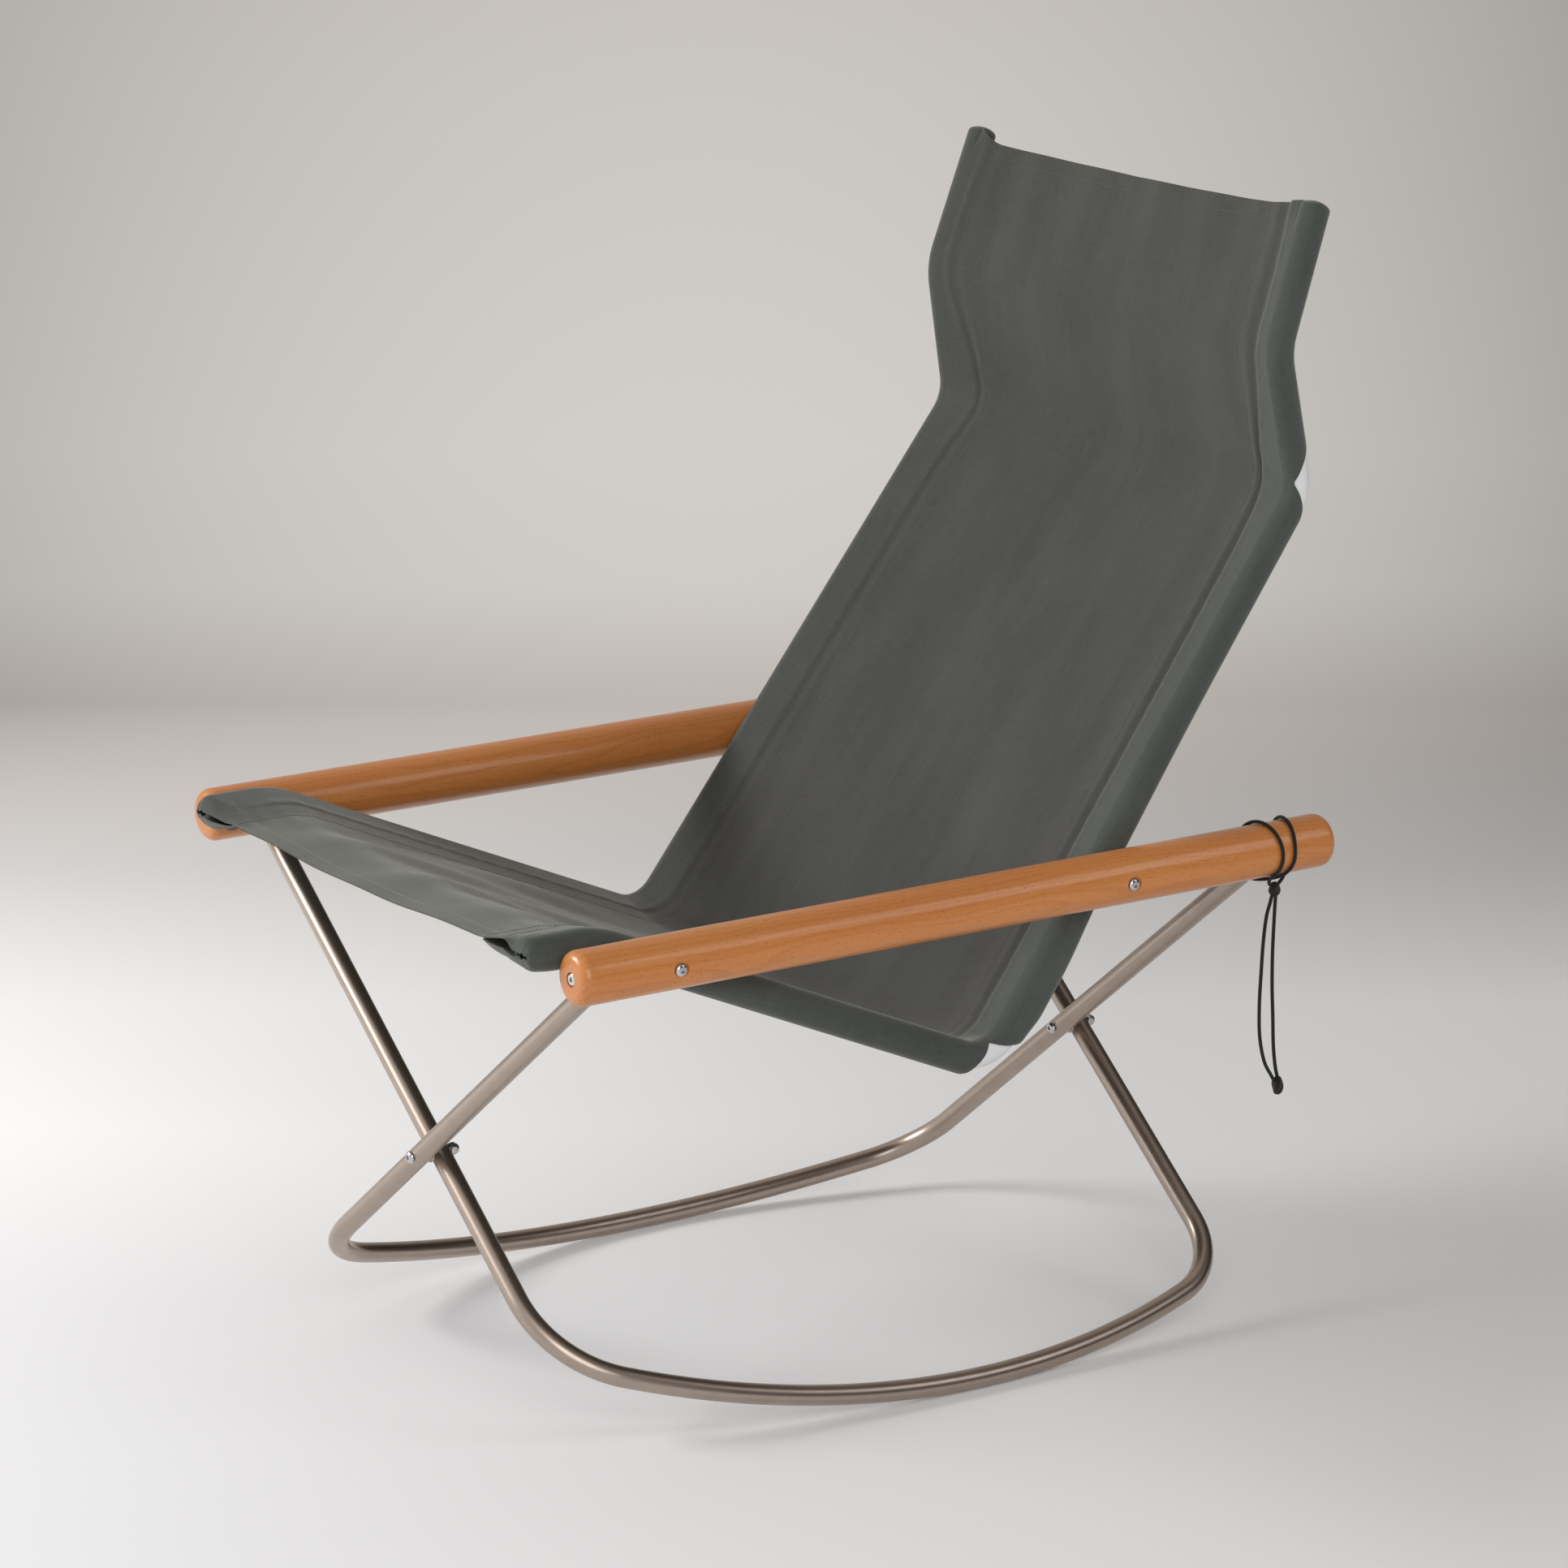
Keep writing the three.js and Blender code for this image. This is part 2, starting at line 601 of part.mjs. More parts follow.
const sideGroups = new Map();
for (const [side, word] of sides) {
  const group = new THREE.Group();
  group.position.set(side * sideX, 0, sideLevel);
  group.rotation.y = -side * radians(SIDE_LEAN);
  group.updateMatrix();
  sideGroups.set(side, group);
  addPiece(group, `side_tube_${word}`, sideTube(side), whitePaint);
  addPiece(group, `sling_sleeve_${word}`, sleeve(side), canvas);

  const { front, head, top } = sideCorners();
  const frontPlug = addPiece(group, `side_tube_plug_${word}_front`, sidePlug(), blackPlastic);
  frontPlug.rotation.x = Math.PI;
  frontPlug.position.set(0, front.x, front.y);
  const topPlug = addPiece(group, `side_tube_plug_${word}_top`, sidePlug(), blackPlastic);
  topPlug.rotation.x = top.clone().sub(head).angle();
  topPlug.position.set(0, top.x, top.y);

  for (const [y, end] of [[frontBoltY, 'front'], [rearBoltY, 'rear']]) {
    addPiece(group, `side_bolt_${word}_${end}`, sideBolt(side), brightSteel).position.y = y;
    addPiece(group, `side_bolt_insert_${word}_${end}`, threadedInsert(side), brightSteel).position.y = y;
  }
  chair.add(group);
}

// Arms: round bars with rounded edges. Each end has a slot from its core to its lower
// inner side, as wide as the leg tube and open from the open lean to the folded lean.
function slotTools(side, y) {
  const half = legRadius + SLOT_CLEARANCE;
  const [open, folded] = [radians(LEAN_OPEN), radians(LEAN_FOLDED)];
  const down = (lean) => new THREE.Vector2(-side * Math.sin(lean), -Math.cos(lean));
  const across = (lean, sign) => new THREE.Vector2(
    -side * sign * Math.cos(lean),
    sign * Math.sin(lean),
  );
  const openEdge = across(open, 1).multiplyScalar(half);
  const foldedEdge = across(folded, -1).multiplyScalar(half);
  const outline = new THREE.Shape([
    openEdge,
    openEdge.clone().addScaledVector(down(open), ARM_DIAMETER),
    down((open + folded) / 2).multiplyScalar(ARM_DIAMETER),
    foldedEdge.clone().addScaledVector(down(folded), ARM_DIAMETER),
    foldedEdge,
  ]);
  const pocket = Math.hypot(LEG_END_LAP, legRadius) + SLOT_CLEARANCE;
  const depth = LEG_DIAMETER + 2 * SLOT_CLEARANCE;
  return [
    plate(outline, y - depth / 2, depth),
    barY(pocket, y - depth / 2, y + depth / 2, HEAD_SIDES),
  ];
}

function armBlank() {
  const radius = ARM_DIAMETER / 2;
  const flat = radius - ARM_EDGE_ROUND;
  const farCentre = armLength - ARM_EDGE_ROUND;
  const profile = [
    new THREE.Vector2(0, 0),
    ...quarter(flat, ARM_EDGE_ROUND, ARM_EDGE_ROUND, ARM_EDGE_ROUND, -Math.PI / 2, EDGE_STEPS),
    ...quarter(flat, farCentre, ARM_EDGE_ROUND, ARM_EDGE_ROUND, 0, EDGE_STEPS),
    new THREE.Vector2(0, armLength),
  ];
  return new THREE.LatheGeometry(profile, ARM_SIDES).translate(0, armFront, 0);
}

// Screw lengths: from the end face, through the leg and into the wood beyond
const screwReach = (side, end) => {
  const legY = frameY(side) + (end < 0 ? 0 : LEG_PITCH);
  const face = end < 0 ? armFront : armRear;
  return Math.abs(legY - face) + legRadius + SLOT_CLEARANCE + SCREW_BITE;
};

function endScrew(side, end) {
  const length = screwReach(side, end) - SCREW_HEAD_HEIGHT;
  const radius = SCREW_DIAMETER / 2;
  const screw = domedBolt(SCREW_HEAD_DIAMETER / 2, SCREW_HEAD_HEIGHT, radius, length, SCREW_POINT, BOLT_SIDES);
  return withSocket(screw, SCREW_HEAD_HEIGHT).translate(0, SCREW_HEAD_HEIGHT, 0);
}

function screwHoles(side, end) {
  const face = end < 0 ? armFront : armRear;
  const inward = -end;
  const bar = (radius, depth) => {
    const ends = [face - inward * CUT_OVERRUN, face + inward * depth];
    return barY(radius, Math.min(...ends), Math.max(...ends), BOLT_SIDES);
  };
  return [
    bar(SCREW_HEAD_DIAMETER / 2 + FIT_GAP, SCREW_HEAD_HEIGHT + FIT_GAP),
    bar(SCREW_DIAMETER / 2 + FIT_GAP, screwReach(side, end) + FIT_GAP),
  ];
}

function boltHoles(side) {
  const inner = side * (sideRadius + FIT_GAP);
  const seat = side * headSeat;
  const outer = side * (headSeat + SIDE_HEAD_RECESS + ARM_DIAMETER);
  const toArm = new THREE.Matrix4().makeTranslation(-side * armX, 0, -armRise);
  toArm.multiply(sideGroups.get(side).matrix);
  return [
    ...boltBars(SIDE_BOLT_DIAMETER / 2 + FIT_GAP, inner, outer),
    ...boltBars(SIDE_HEAD_DIAMETER / 2 + 2 * FIT_GAP, seat, outer),
  ].map((bar) => bar.applyMatrix4(toArm));
}

for (const [side, word] of sides) {
  const arm = new THREE.Group();
  arm.position.set(side * armX, 0, armRise);
  const legs = [frameY(side), frameY(side) + LEG_PITCH];
  const bar = cut(armBlank(), [
    ...legs.flatMap((y) => slotTools(side, y)),
    ...screwHoles(side, -1),
    ...screwHoles(side, 1),
    ...boltHoles(side),
  ]);
  addPiece(arm, `armrest_${word}`, bar, beech);
  const front = addPiece(arm, `arm_end_screw_${word}_front`, endScrew(side, -1), brightSteel);
  front.position.y = armFront;
  const rear = addPiece(arm, `arm_end_screw_${word}_rear`, endScrew(side, 1), brightSteel);
  rear.position.y = armRear;
  rear.rotation.x = Math.PI;
  chair.add(arm);
}

// Canvas panel between the sleeves. Its section across the chair is one layer that
// sags a little between the two long seams, and two layers that spread from each seam
// to the upper and the lower side of the sleeve. The section is lofted along the side
// tubes from the front hem to the top hem.
const sagShares = [-0.8, -0.5, 0, 0.5, 0.8];

function panelSection(halfWidth, sag) {
  const end = halfWidth - LAYER_LAP;
  const seam = halfWidth - SEAM_INSET;
  const mouth = Math.sqrt(sleeveRadius ** 2 - LAYER_LAP ** 2) + FIT_GAP;
  const half = CANVAS / 2;
  const apex = seam + (2 * half * (end - seam)) / mouth;
  const sagAt = (x) => -sag * (1 - (x / seam) ** 2);
  const middle = sagShares.map((share) => [share * seam, sagAt(share * seam)]);
  const top = middle.map(([x, n]) => [x, n + half]);
  const bottom = middle.map(([x, n]) => [x, n - half]).reverse();
  return [
    [-end, mouth + CANVAS], [-seam, half], ...top, [seam, half], [end, mouth + CANVAS],
    [end, mouth], [apex, 0], [end, -mouth], [end, -mouth - CANVAS],
    [seam, -half], ...bottom, [-seam, -half], [-end, -mouth - CANVAS],
    [-end, -mouth], [-apex, 0], [-end, mouth],
  ];
}

// Stations of the loft: those of the side route, with each long straight divided
const PANEL_STEP = 60;

function panelStations() {
  const stations = sideRoute(SLEEVE_MOUTH, -HEM_SHORT).stations;
  const divided = [];
  for (let i = 0; i < stations.length - 1; i++) {
    const [a, b] = [stations[i], stations[i + 1]];
    const count = Math.max(1, Math.round(a.point.distanceTo(b.point) / PANEL_STEP));
    for (let k = 0; k < count; k++) {
      divided.push({
        point: a.point.clone().lerp(b.point, k / count),
        tangent: a.tangent.clone().lerp(b.tangent, k / count).normalize(),
      });
    }
  }
  divided.push(stations.at(-1));
  return divided;
}

function panelGeometry() {
  const stations = panelStations();
  const lean = radians(SIDE_LEAN);
  const vertices = [];
  let cap = [];
  stations.forEach(({ point, tangent }, i) => {
    const share = i / (stations.length - 1);
    const sag = THREE.MathUtils.lerp(SAG_AT_HEMS, SAG_AT_MIDDLE, Math.sin(Math.PI * share));
    const halfWidth = sideX - point.z * Math.sin(lean);
    const ring = panelSection(halfWidth, sag);
    if (i === 0) cap = ring.map(([x, n]) => new THREE.Vector2(x, n));
    const height = sideLevel + point.z * Math.cos(lean);
    for (const [x, n] of ring) {
      vertices.push(x, point.y - n * tangent.z, height + n * tangent.y);
    }
  });
  const around = cap.length;
  const last = (stations.length - 1) * around;
  const faces = [];
  for (let row = 0; row < last; row += around) {
    for (let k = 0; k < around; k++) {
      const next = (k + 1) % around;
      faces.push(row + k, row + next, row + around + next);
      faces.push(row + k, row + around + next, row + around + k);
    }
  }
  for (const [a, b, c] of THREE.ShapeUtils.triangulateShape(cap, [])) {
    faces.push(a, b, c);
    faces.push(last + a, last + c, last + b);
  }
  const geometry = new THREE.BufferGeometry();
  geometry.setAttribute('position', new THREE.Float32BufferAttribute(vertices, 3));
  geometry.setIndex(faces);
  geometry.computeVertexNormals();
  return geometry;
}

addPiece(chair, 'sling_panel', panelGeometry(), canvas);

// Tie cord: an elastic cord wound twice round the left arm behind its rear leg slot,
// knotted below, with two tails that hang to an end knot. The wraps pass in front of
// and behind the leg, which needs the space between them when the chair folds.
const cordRadius = CORD_DIAMETER / 2;
const wrapRadius = ARM_DIAMETER / 2 + FIT_GAP + cordRadius;
const windingSteps = 54;
const cordSides = 8;
const windingSides = 6;

// The winding's route, chosen by hand: the angle round the arm from straight down,
// towards its outer side, the distance rearwards from the middle of the leg, and the
// height above the arm's surface. Both ends run into the knot.
const windingRoute = [
  [16, -4.5, 6], [20, -9, 4], [30, -10.5, 1], [60, -7, 0], [100, -6.5, 0], [180, -12, 0],
  [240, -17, 0], [290, -19, 0], [335, -19, 0], [352, -16.5, 0], [367, -11, 0],
  [380, -4.5, 0], [400, 2, 0], [430, 5.5, 0], [470, 6.5, 0], [540, 12, 0],
  [600, 17, 0], [650, 19, 0], [700, 18.5, 0], [722, 13, 0], [733, 6, 3],
  [737, 0, 6],
];

// The route is smoothed on the unrolled arm and then laid round it
class WindingCurve extends THREE.Curve {
  constructor(route) {
    super();
    const flat = route.map(([angle, y, lift]) => (
      new THREE.Vector3(wrapRadius * radians(angle), y, lift)
    ));
    this.unrolled = new THREE.CatmullRomCurve3(flat);
  }

  getPoint(share, target = new THREE.Vector3()) {
    const { x, y, z } = this.unrolled.getPoint(share);
    const turn = x / wrapRadius;
    const radius = wrapRadius + z;
    const across = armX + radius * Math.sin(turn);
    return target.set(across, LEG_PITCH + y, armRise - radius * Math.cos(turn));
  }
}

function cordTube(curve, steps, count) {
  return new THREE.ExtrudeGeometry(new THREE.Shape(polygon(cordRadius, count)), {
    steps,
    extrudePath: curve,
  });
}

// The least gap between turns that lie more than a few diameters apart on the cord
function leastGap(curve, steps) {
  const points = curve.getSpacedPoints(steps);
  const skip = Math.ceil((4 * CORD_DIAMETER * steps) / curve.getLength());
  let least = Infinity;
  for (let i = 0; i < points.length; i++) {
    for (let k = i + skip; k < points.length; k++) {
      least = Math.min(least, points[i].distanceTo(points[k]) - CORD_DIAMETER);
    }
  }
  return least;
}

const winding = new WindingCurve(windingRoute);
const windingSamples = 400;
console.log(`least gap in the cord winding: ${leastGap(winding, windingSamples).toFixed(2)} mm`);
const windingTube = cordTube(winding, windingSteps, windingSides);
addPiece(chair, 'tie_cord_winding', windingTube, cordBlack);

// Knots are rounded lumps; the tails' routes are chosen by hand from the arm's rear pivot
const knotPlace = new THREE.Vector3(armX + 9, LEG_PITCH - 3, armRise - KNOT_DROP);
const endKnotPlace = new THREE.Vector3(armX + 9, LEG_PITCH + 4.3, armRise - END_KNOT_DROP);

function knot(width, height, place) {
  const lump = new THREE.SphereGeometry(1, BOLT_SIDES, 8);
  lump.scale(width / 2, width / 2, height / 2);
  return lump.translate(place.x, place.y, place.z);
}

// Outward, rearward and downward from the arm's centre at the rear pivot
const frontTail = [
  [9, -5, 35], [9, -7, 42], [9, -10.3, 52], [9, -13.2, 72], [9, -15, 100], [9, -16.2, 128],
  [9, -15, 156], [9, -9.5, 178], [9, -2.5, 190], [9, 0.8, 195.5],
];
const rearTail = [
  [9, -1.5, 35], [9, -2, 42], [9.3, -3, 58], [9.7, -4.2, 85], [10, -4.2, 113],
  [10, -2.8, 140], [9.6, -1.2, 166], [9.2, 1.6, 184], [9, 4.8, 195.5],
];
const tailSteps = 22;
const tails = [frontTail, rearTail].map((route) => {
  const points = route.map(([x, y, z]) => new THREE.Vector3(armX + x, LEG_PITCH + y, armRise - z));
  return cordTube(new THREE.CatmullRomCurve3(points), tailSteps, cordSides);
});
addPiece(chair, 'tie_cord_tail_front', tails[0], cordBlack);
addPiece(chair, 'tie_cord_tail_rear', tails[1], cordBlack);

// Each knot fits the cord that runs into it
const upperKnot = cut(knot(KNOT_WIDTH, KNOT_HEIGHT, knotPlace), [windingTube, ...tails]);
const endKnot = cut(knot(END_KNOT_WIDTH, END_KNOT_HEIGHT, endKnotPlace), tails);
addPiece(chair, 'tie_cord_knot', upperKnot, cordBlack);
addPiece(chair, 'tie_cord_end_knot', endKnot, cordBlack);

// The origin is on the floor, under the middle of the chair without its tie cord
chair.updateMatrixWorld(true);
const footprint = new THREE.Box3();
chair.traverse((item) => {
  if (item.isMesh && !item.name.startsWith('tie_cord')) footprint.expandByObject(item, true);
});
const middle = footprint.getCenter(new THREE.Vector3());
chair.position.set(-middle.x, -middle.y, -footprint.min.z);

const model = new THREE.Group();
model.add(chair);
export default model;
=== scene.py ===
# Folding rocking chair: two crossed leg frames with curved runners, two round beech arms, and
# a canvas sling on two bent side tubes. Lengths are in metres. +Z is up, the sitter faces -Y
# and the sitter's left is +X.
import json

import bmesh
import bpy
import numpy as np
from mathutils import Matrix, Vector


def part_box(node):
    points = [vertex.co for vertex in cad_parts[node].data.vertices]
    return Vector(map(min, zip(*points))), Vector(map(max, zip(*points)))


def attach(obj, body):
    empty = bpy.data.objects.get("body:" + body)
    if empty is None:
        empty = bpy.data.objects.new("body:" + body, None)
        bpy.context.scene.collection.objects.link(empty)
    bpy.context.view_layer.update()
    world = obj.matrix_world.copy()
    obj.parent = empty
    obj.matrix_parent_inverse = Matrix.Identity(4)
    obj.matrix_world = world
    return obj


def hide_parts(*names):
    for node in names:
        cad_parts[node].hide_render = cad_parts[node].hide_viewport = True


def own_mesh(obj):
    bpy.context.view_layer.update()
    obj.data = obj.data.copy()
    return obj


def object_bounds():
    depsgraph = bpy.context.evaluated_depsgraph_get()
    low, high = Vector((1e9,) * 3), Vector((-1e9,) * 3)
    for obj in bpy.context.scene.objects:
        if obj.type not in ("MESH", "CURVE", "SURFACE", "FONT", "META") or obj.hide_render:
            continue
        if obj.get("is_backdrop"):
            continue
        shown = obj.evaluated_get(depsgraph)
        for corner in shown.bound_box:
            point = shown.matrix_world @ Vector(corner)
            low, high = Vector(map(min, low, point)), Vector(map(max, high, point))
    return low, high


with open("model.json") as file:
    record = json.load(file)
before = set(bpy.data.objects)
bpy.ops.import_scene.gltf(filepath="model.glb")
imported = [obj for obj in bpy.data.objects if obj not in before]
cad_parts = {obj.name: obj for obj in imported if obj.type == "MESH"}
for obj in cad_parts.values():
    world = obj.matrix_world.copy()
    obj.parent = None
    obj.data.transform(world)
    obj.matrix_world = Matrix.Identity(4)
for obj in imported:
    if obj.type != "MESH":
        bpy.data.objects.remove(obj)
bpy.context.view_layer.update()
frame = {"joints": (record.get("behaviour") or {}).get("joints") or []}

joints = {joint["name"]: joint for joint in frame["joints"]}
SIDES = ((1, "left"), (-1, "right"))


# Camera: it stands in front of the chair on the sitter's left, a little above it, and sees
# the whole chair through a long lens.
PHOTO_PIXELS = 1932
FOCAL_PIXELS = 7817.13
SENSOR_MM = 36
EYE = Vector((4.18325, -2.79014, 1.79157))
GAZE = Vector((-0.80262, 0.53867, -0.25622))

camera = bpy.data.objects.new("camera", bpy.data.cameras.new("camera"))
bpy.context.scene.collection.objects.link(camera)
camera.data.sensor_width = SENSOR_MM
camera.data.lens = FOCAL_PIXELS / PHOTO_PIXELS * SENSOR_MM
camera.location = EYE
camera.rotation_euler = GAZE.to_track_quat("-Z", "Y").to_euler()
bpy.context.scene.camera = camera
bpy.context.scene.view_settings.view_transform = "Standard"


# Studio: a white paper floor, lit by the lamps near the chair, where its glow adds a painted pool
# of light that is brighter on the camera's left; beyond the chair the glow turns into a dark band
# and then a pale grey. A broad softbox stands close to the camera, a smaller one on its left
# throws the shadows, and a weak one stands on its right.
def paint(red, green, blue):
    """A colour as it looks on a screen, 0 to 255, turned into the linear values shaders use."""
    share = np.array([red, green, blue]) / 255
    linear = np.where(share > 0.04045, ((share + 0.055) / 1.055) ** 2.4, share / 12.92)
    return (*linear, 1.0)


def wire(tree, node, inputs):
    """The node, with its inputs set to plain values or linked from sockets of other nodes."""
    for key, value in inputs.items():
        if isinstance(value, bpy.types.NodeSocket):
            tree.links.new(value, node.inputs[key])
        else:
            node.inputs[key].default_value = value
    return node


def add(tree, kind, inputs=None, **settings):
    """One shader node with its settings and inputs."""
    node = tree.nodes.new("ShaderNode" + kind)
    for key, value in settings.items():
        setattr(node, key, value)
    return wire(tree, node, inputs or {})


def calc(tree, operation, *values, clamp=False):
    """The result socket of one Math node."""
    node = add(tree, "Math", dict(enumerate(values)), operation=operation, use_clamp=clamp)
    return node.outputs[0]


def ramp(tree, factor, *stops):
    """The colour socket of a ColorRamp whose stops are (position, colour) pairs. A colour that
    is a plain number is a grey."""
    node = add(tree, "ValToRGB", {0: factor})
    elements = node.color_ramp.elements
    while len(elements) < len(stops):
        elements.new(0.5)
    for element, (position, colour) in zip(elements, stops):
        element.position = position
        element.color = (colour,) * 3 + (1,) if np.isscalar(colour) else colour
    return node.outputs[0]


def mix(tree, share, first, second):
    """The colour socket of a Mix node: first where share is 0, second where it is 1."""
    return add(tree, "Mix", {0: share, 6: first, 7: second}, data_type="RGBA").outputs[2]


def map_range(tree, value, low, high, first=0.0, last=1.0):
    """The socket of a value that goes from first to last as the given one goes low to high."""
    return add(tree, "MapRange", {0: value, 1: low, 2: high, 3: first, 4: last}).outputs[0]


def coordinates(tree, kind):
    """The socket of the Object, UV or Generated coordinates."""
    return add(tree, "TexCoord").outputs[kind]


def reach(tree, place, way):
    """The socket of a dot product: how far place lies along way."""
    return add(tree, "VectorMath", {0: place, 1: way}, operation="DOT_PRODUCT").outputs["Value"]


def new_material(name):
    """An empty node material with its Principled shader linked to the output."""
    material = bpy.data.materials.new(name)
    material.use_nodes = True
    tree = material.node_tree
    tree.nodes.clear()
    shader = add(tree, "BsdfPrincipled")
    add(tree, "OutputMaterial", {"Surface": shader.outputs[0]})
    return material, tree, shader


FLOOR_REACH = 40.0
BEHIND = (-0.8303, 0.5573, 0.0)
CAMERA_RIGHT = (0.5573, 0.8303, 0.0)
EYE_BACK = 5.03
LEAST_ONWARD = 2.5
# The glow's colours from near to far, and how much it fades to the sides; near the chair the
# floor gets a painted pool of light, strong on the camera's left and weak on its right.
GLOW_NEAR, GLOW_FAR = -1.5, 8.5
GLOW_STOPS = (
    (0.10, (0.07, 0.07, 0.075, 1)), (0.155, (0.10, 0.10, 0.105, 1)), (0.20, (0.16, 0.16, 0.16, 1)),
    (0.24, (0.14, 0.135, 0.13, 1)), (0.29, (0.23, 0.215, 0.205, 1)), (0.35, (0.475, 0.435, 0.405, 1)),
    (0.42, (0.605, 0.58, 0.55, 1)), (0.50, (0.625, 0.60, 0.57, 1)), (0.72, (0.59, 0.565, 0.535, 1)),
    (0.95, (0.56, 0.53, 0.50, 1)),
)
GLOW_MIDDLE, GLOW_FALL, GLOW_LEAST = -0.012, 18.0, 0.62
NEAR_SPREAD, NEAR_LEFT, NEAR_RIGHT = 0.125, 1.70, 0.20
LAMPLIT_UNTIL, GLOWING_FROM = 0.9, 2.1
paper, tree, shader = new_material("studio_paper")
place = coordinates(tree, "Object")
back = reach(tree, place, BEHIND)
onward = calc(tree, "MAXIMUM", calc(tree, "ADD", back, EYE_BACK), LEAST_ONWARD)
spread = calc(tree, "DIVIDE", reach(tree, place, CAMERA_RIGHT), onward)
far_glow = ramp(tree, map_range(tree, back, GLOW_NEAR, GLOW_FAR), *GLOW_STOPS)
offset = calc(tree, "SUBTRACT", spread, GLOW_MIDDLE)
side_fade = calc(tree, "MULTIPLY_ADD", calc(tree, "MULTIPLY", offset, offset), -GLOW_FALL, 1.0)
side_fade = calc(tree, "MAXIMUM", side_fade, GLOW_LEAST)
# The painted pool of light near the chair: the glow there is strong on the camera's left and weak on its
# right.
near_light_pool = map_range(tree, spread, -NEAR_SPREAD, NEAR_SPREAD, NEAR_LEFT, NEAR_RIGHT)
nearness = map_range(tree, back, LAMPLIT_UNTIL, GLOWING_FROM, 1.0, 0.0)
fade = add(tree, "Mix", {0: nearness, 2: side_fade, 3: near_light_pool}, data_type="FLOAT").outputs[0]
glow = add(tree, "VectorMath", {0: far_glow, "Scale": fade}, operation="SCALE")
seen = add(tree, "LightPath").outputs
wire(tree, shader, {
    "Base Color": mix(tree, nearness, (0.02, 0.02, 0.02, 1), (0.86, 0.855, 0.85, 1)),
    "Emission Color": glow.outputs[0],
    "Emission Strength": calc(tree, "MAXIMUM", seen["Is Camera Ray"], seen["Is Glossy Ray"]),
    "Roughness": 0.9, "Specular IOR Level": 0.1,
})

floor_mesh = bpy.data.meshes.new("floor")
corner = FLOOR_REACH * np.array([(-1, -1, 0), (1, -1, 0), (1, 1, 0), (-1, 1, 0)])
floor_mesh.from_pydata(corner.tolist(), [], [(0, 1, 2, 3)])
floor_mesh.materials.append(paper)
floor = bpy.data.objects.new("floor", floor_mesh)
bpy.context.scene.collection.objects.link(floor)
floor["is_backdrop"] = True

ROOM_LIGHT = 0.39
world = bpy.data.worlds.new("studio")
bpy.context.scene.world = world
world.use_nodes = True
tree = world.node_tree
tree.nodes.clear()
seen = add(tree, "LightPath").outputs
toward = reach(tree, coordinates(tree, "Generated"), CAMERA_RIGHT)
room = ramp(
    tree, calc(tree, "MULTIPLY_ADD", toward, 0.5, 0.5),
    (0.0, paint(214, 210, 206)), (0.56, paint(186, 180, 174)), (0.8, paint(40, 37, 35)),
)
mirrored = add(tree, "Background", {"Color": room, "Strength": 1.0})
dim = add(tree, "Background", {"Color": paint(240, 238, 236), "Strength": ROOM_LIGHT})
plain = add(tree, "Background", {"Color": paint(186, 181, 174), "Strength": 1.0})
glossy = calc(tree, "MAXIMUM", seen["Is Glossy Ray"], seen["Is Transmission Ray"])
mixed = add(tree, "MixShader", {0: glossy, 1: dim.outputs[0], 2: mirrored.outputs[0]})
final = add(tree, "MixShader", {0: seen["Is Camera Ray"], 1: mixed.outputs[0], 2: plain.outputs[0]})
add(tree, "OutputWorld", {"Surface": final.outputs[0]})


def soft_lamp(name, place, target, width, power):
    """A square area lamp at place that faces target."""
    data = bpy.data.lights.new(name, "AREA")
    data.shape, data.size, data.energy = "SQUARE", width, power
    lamp = bpy.data.objects.new(name, data)
    lamp.location = place
    lamp.rotation_euler = (Vector(target) - Vector(place)).to_track_quat("-Z", "Y").to_euler()
    bpy.context.scene.collection.objects.link(lamp)


CHAIR_MIDDLE = (0, 0, 0.40)
soft_lamp("key_lamp", (-1.75, -2.65, 1.85), CHAIR_MIDDLE, 1.2, 72)
soft_lamp("back_lamp", (2.3, 2.0, 2.3), CHAIR_MIDDLE, 1.4, 12)
soft_lamp("broad_lamp", (3.5, -2.0, 2.1), CHAIR_MIDDLE, 2.4, 52)


# Leg frames: each is one steel tube, 17 mm across, bent cold in one plane into a front leg,
# a corner, a curved runner, a corner and a rear leg, and plated with satin nickel.
LEG_RADIUS = 0.0085
LEG_WALL = 0.0012
LEG_STEP, LEG_SIDES = 0.004, 32
LEG_PITCH = 0.636
LEG_END_LAP = 0.009
RUNNER_DEPTH = 0.311
RUNNER_RADIUS = 0.716
RUNNER_LOW = 0.370
CORNER_RADII = (0.100, 0.070)
LEG_LEAN = np.radians(52)
EDGE_ROUND = 0.0004

fold_place = np.array(joints["fold"]["pos_m"])
arm_place = {word: np.array(joints[f"{word}_arm_pivot"]["pos_m"]) for _, word in SIDES}
arm_reach = np.hypot(arm_place["left"][0], arm_place["left"][2] - fold_place[2])


def arc(centre, radius, first, last):
    """Points on a circle: centre + radius * (cos a, sin a), a going from first to last."""
    count = max(2, int(abs(last - first) / np.radians(1)) + 1)
    angle = np.linspace(first, last, count)
    return np.array(centre) + radius * np.stack([np.cos(angle), np.sin(angle)], 1)


def run_along(points):
    """How far along their line each of the points lies."""
    return np.r_[0, np.cumsum(np.linalg.norm(np.diff(points, axis=0), axis=1))]


def unit(vectors):
    """The same vectors at length 1."""
    return vectors / np.linalg.norm(vectors, axis=-1, keepdims=True)


def follow(points, spacing):
    """Distances, points and unit tangents at equal steps along a line of points."""
    run = run_along(points)
    distance = np.linspace(0, run[-1], int(round(run[-1] / spacing)) + 1)
    spot = np.stack([np.interp(distance, run, column) for column in points.T], 1)
    return distance, spot, unit(np.gradient(spot, distance, axis=0))


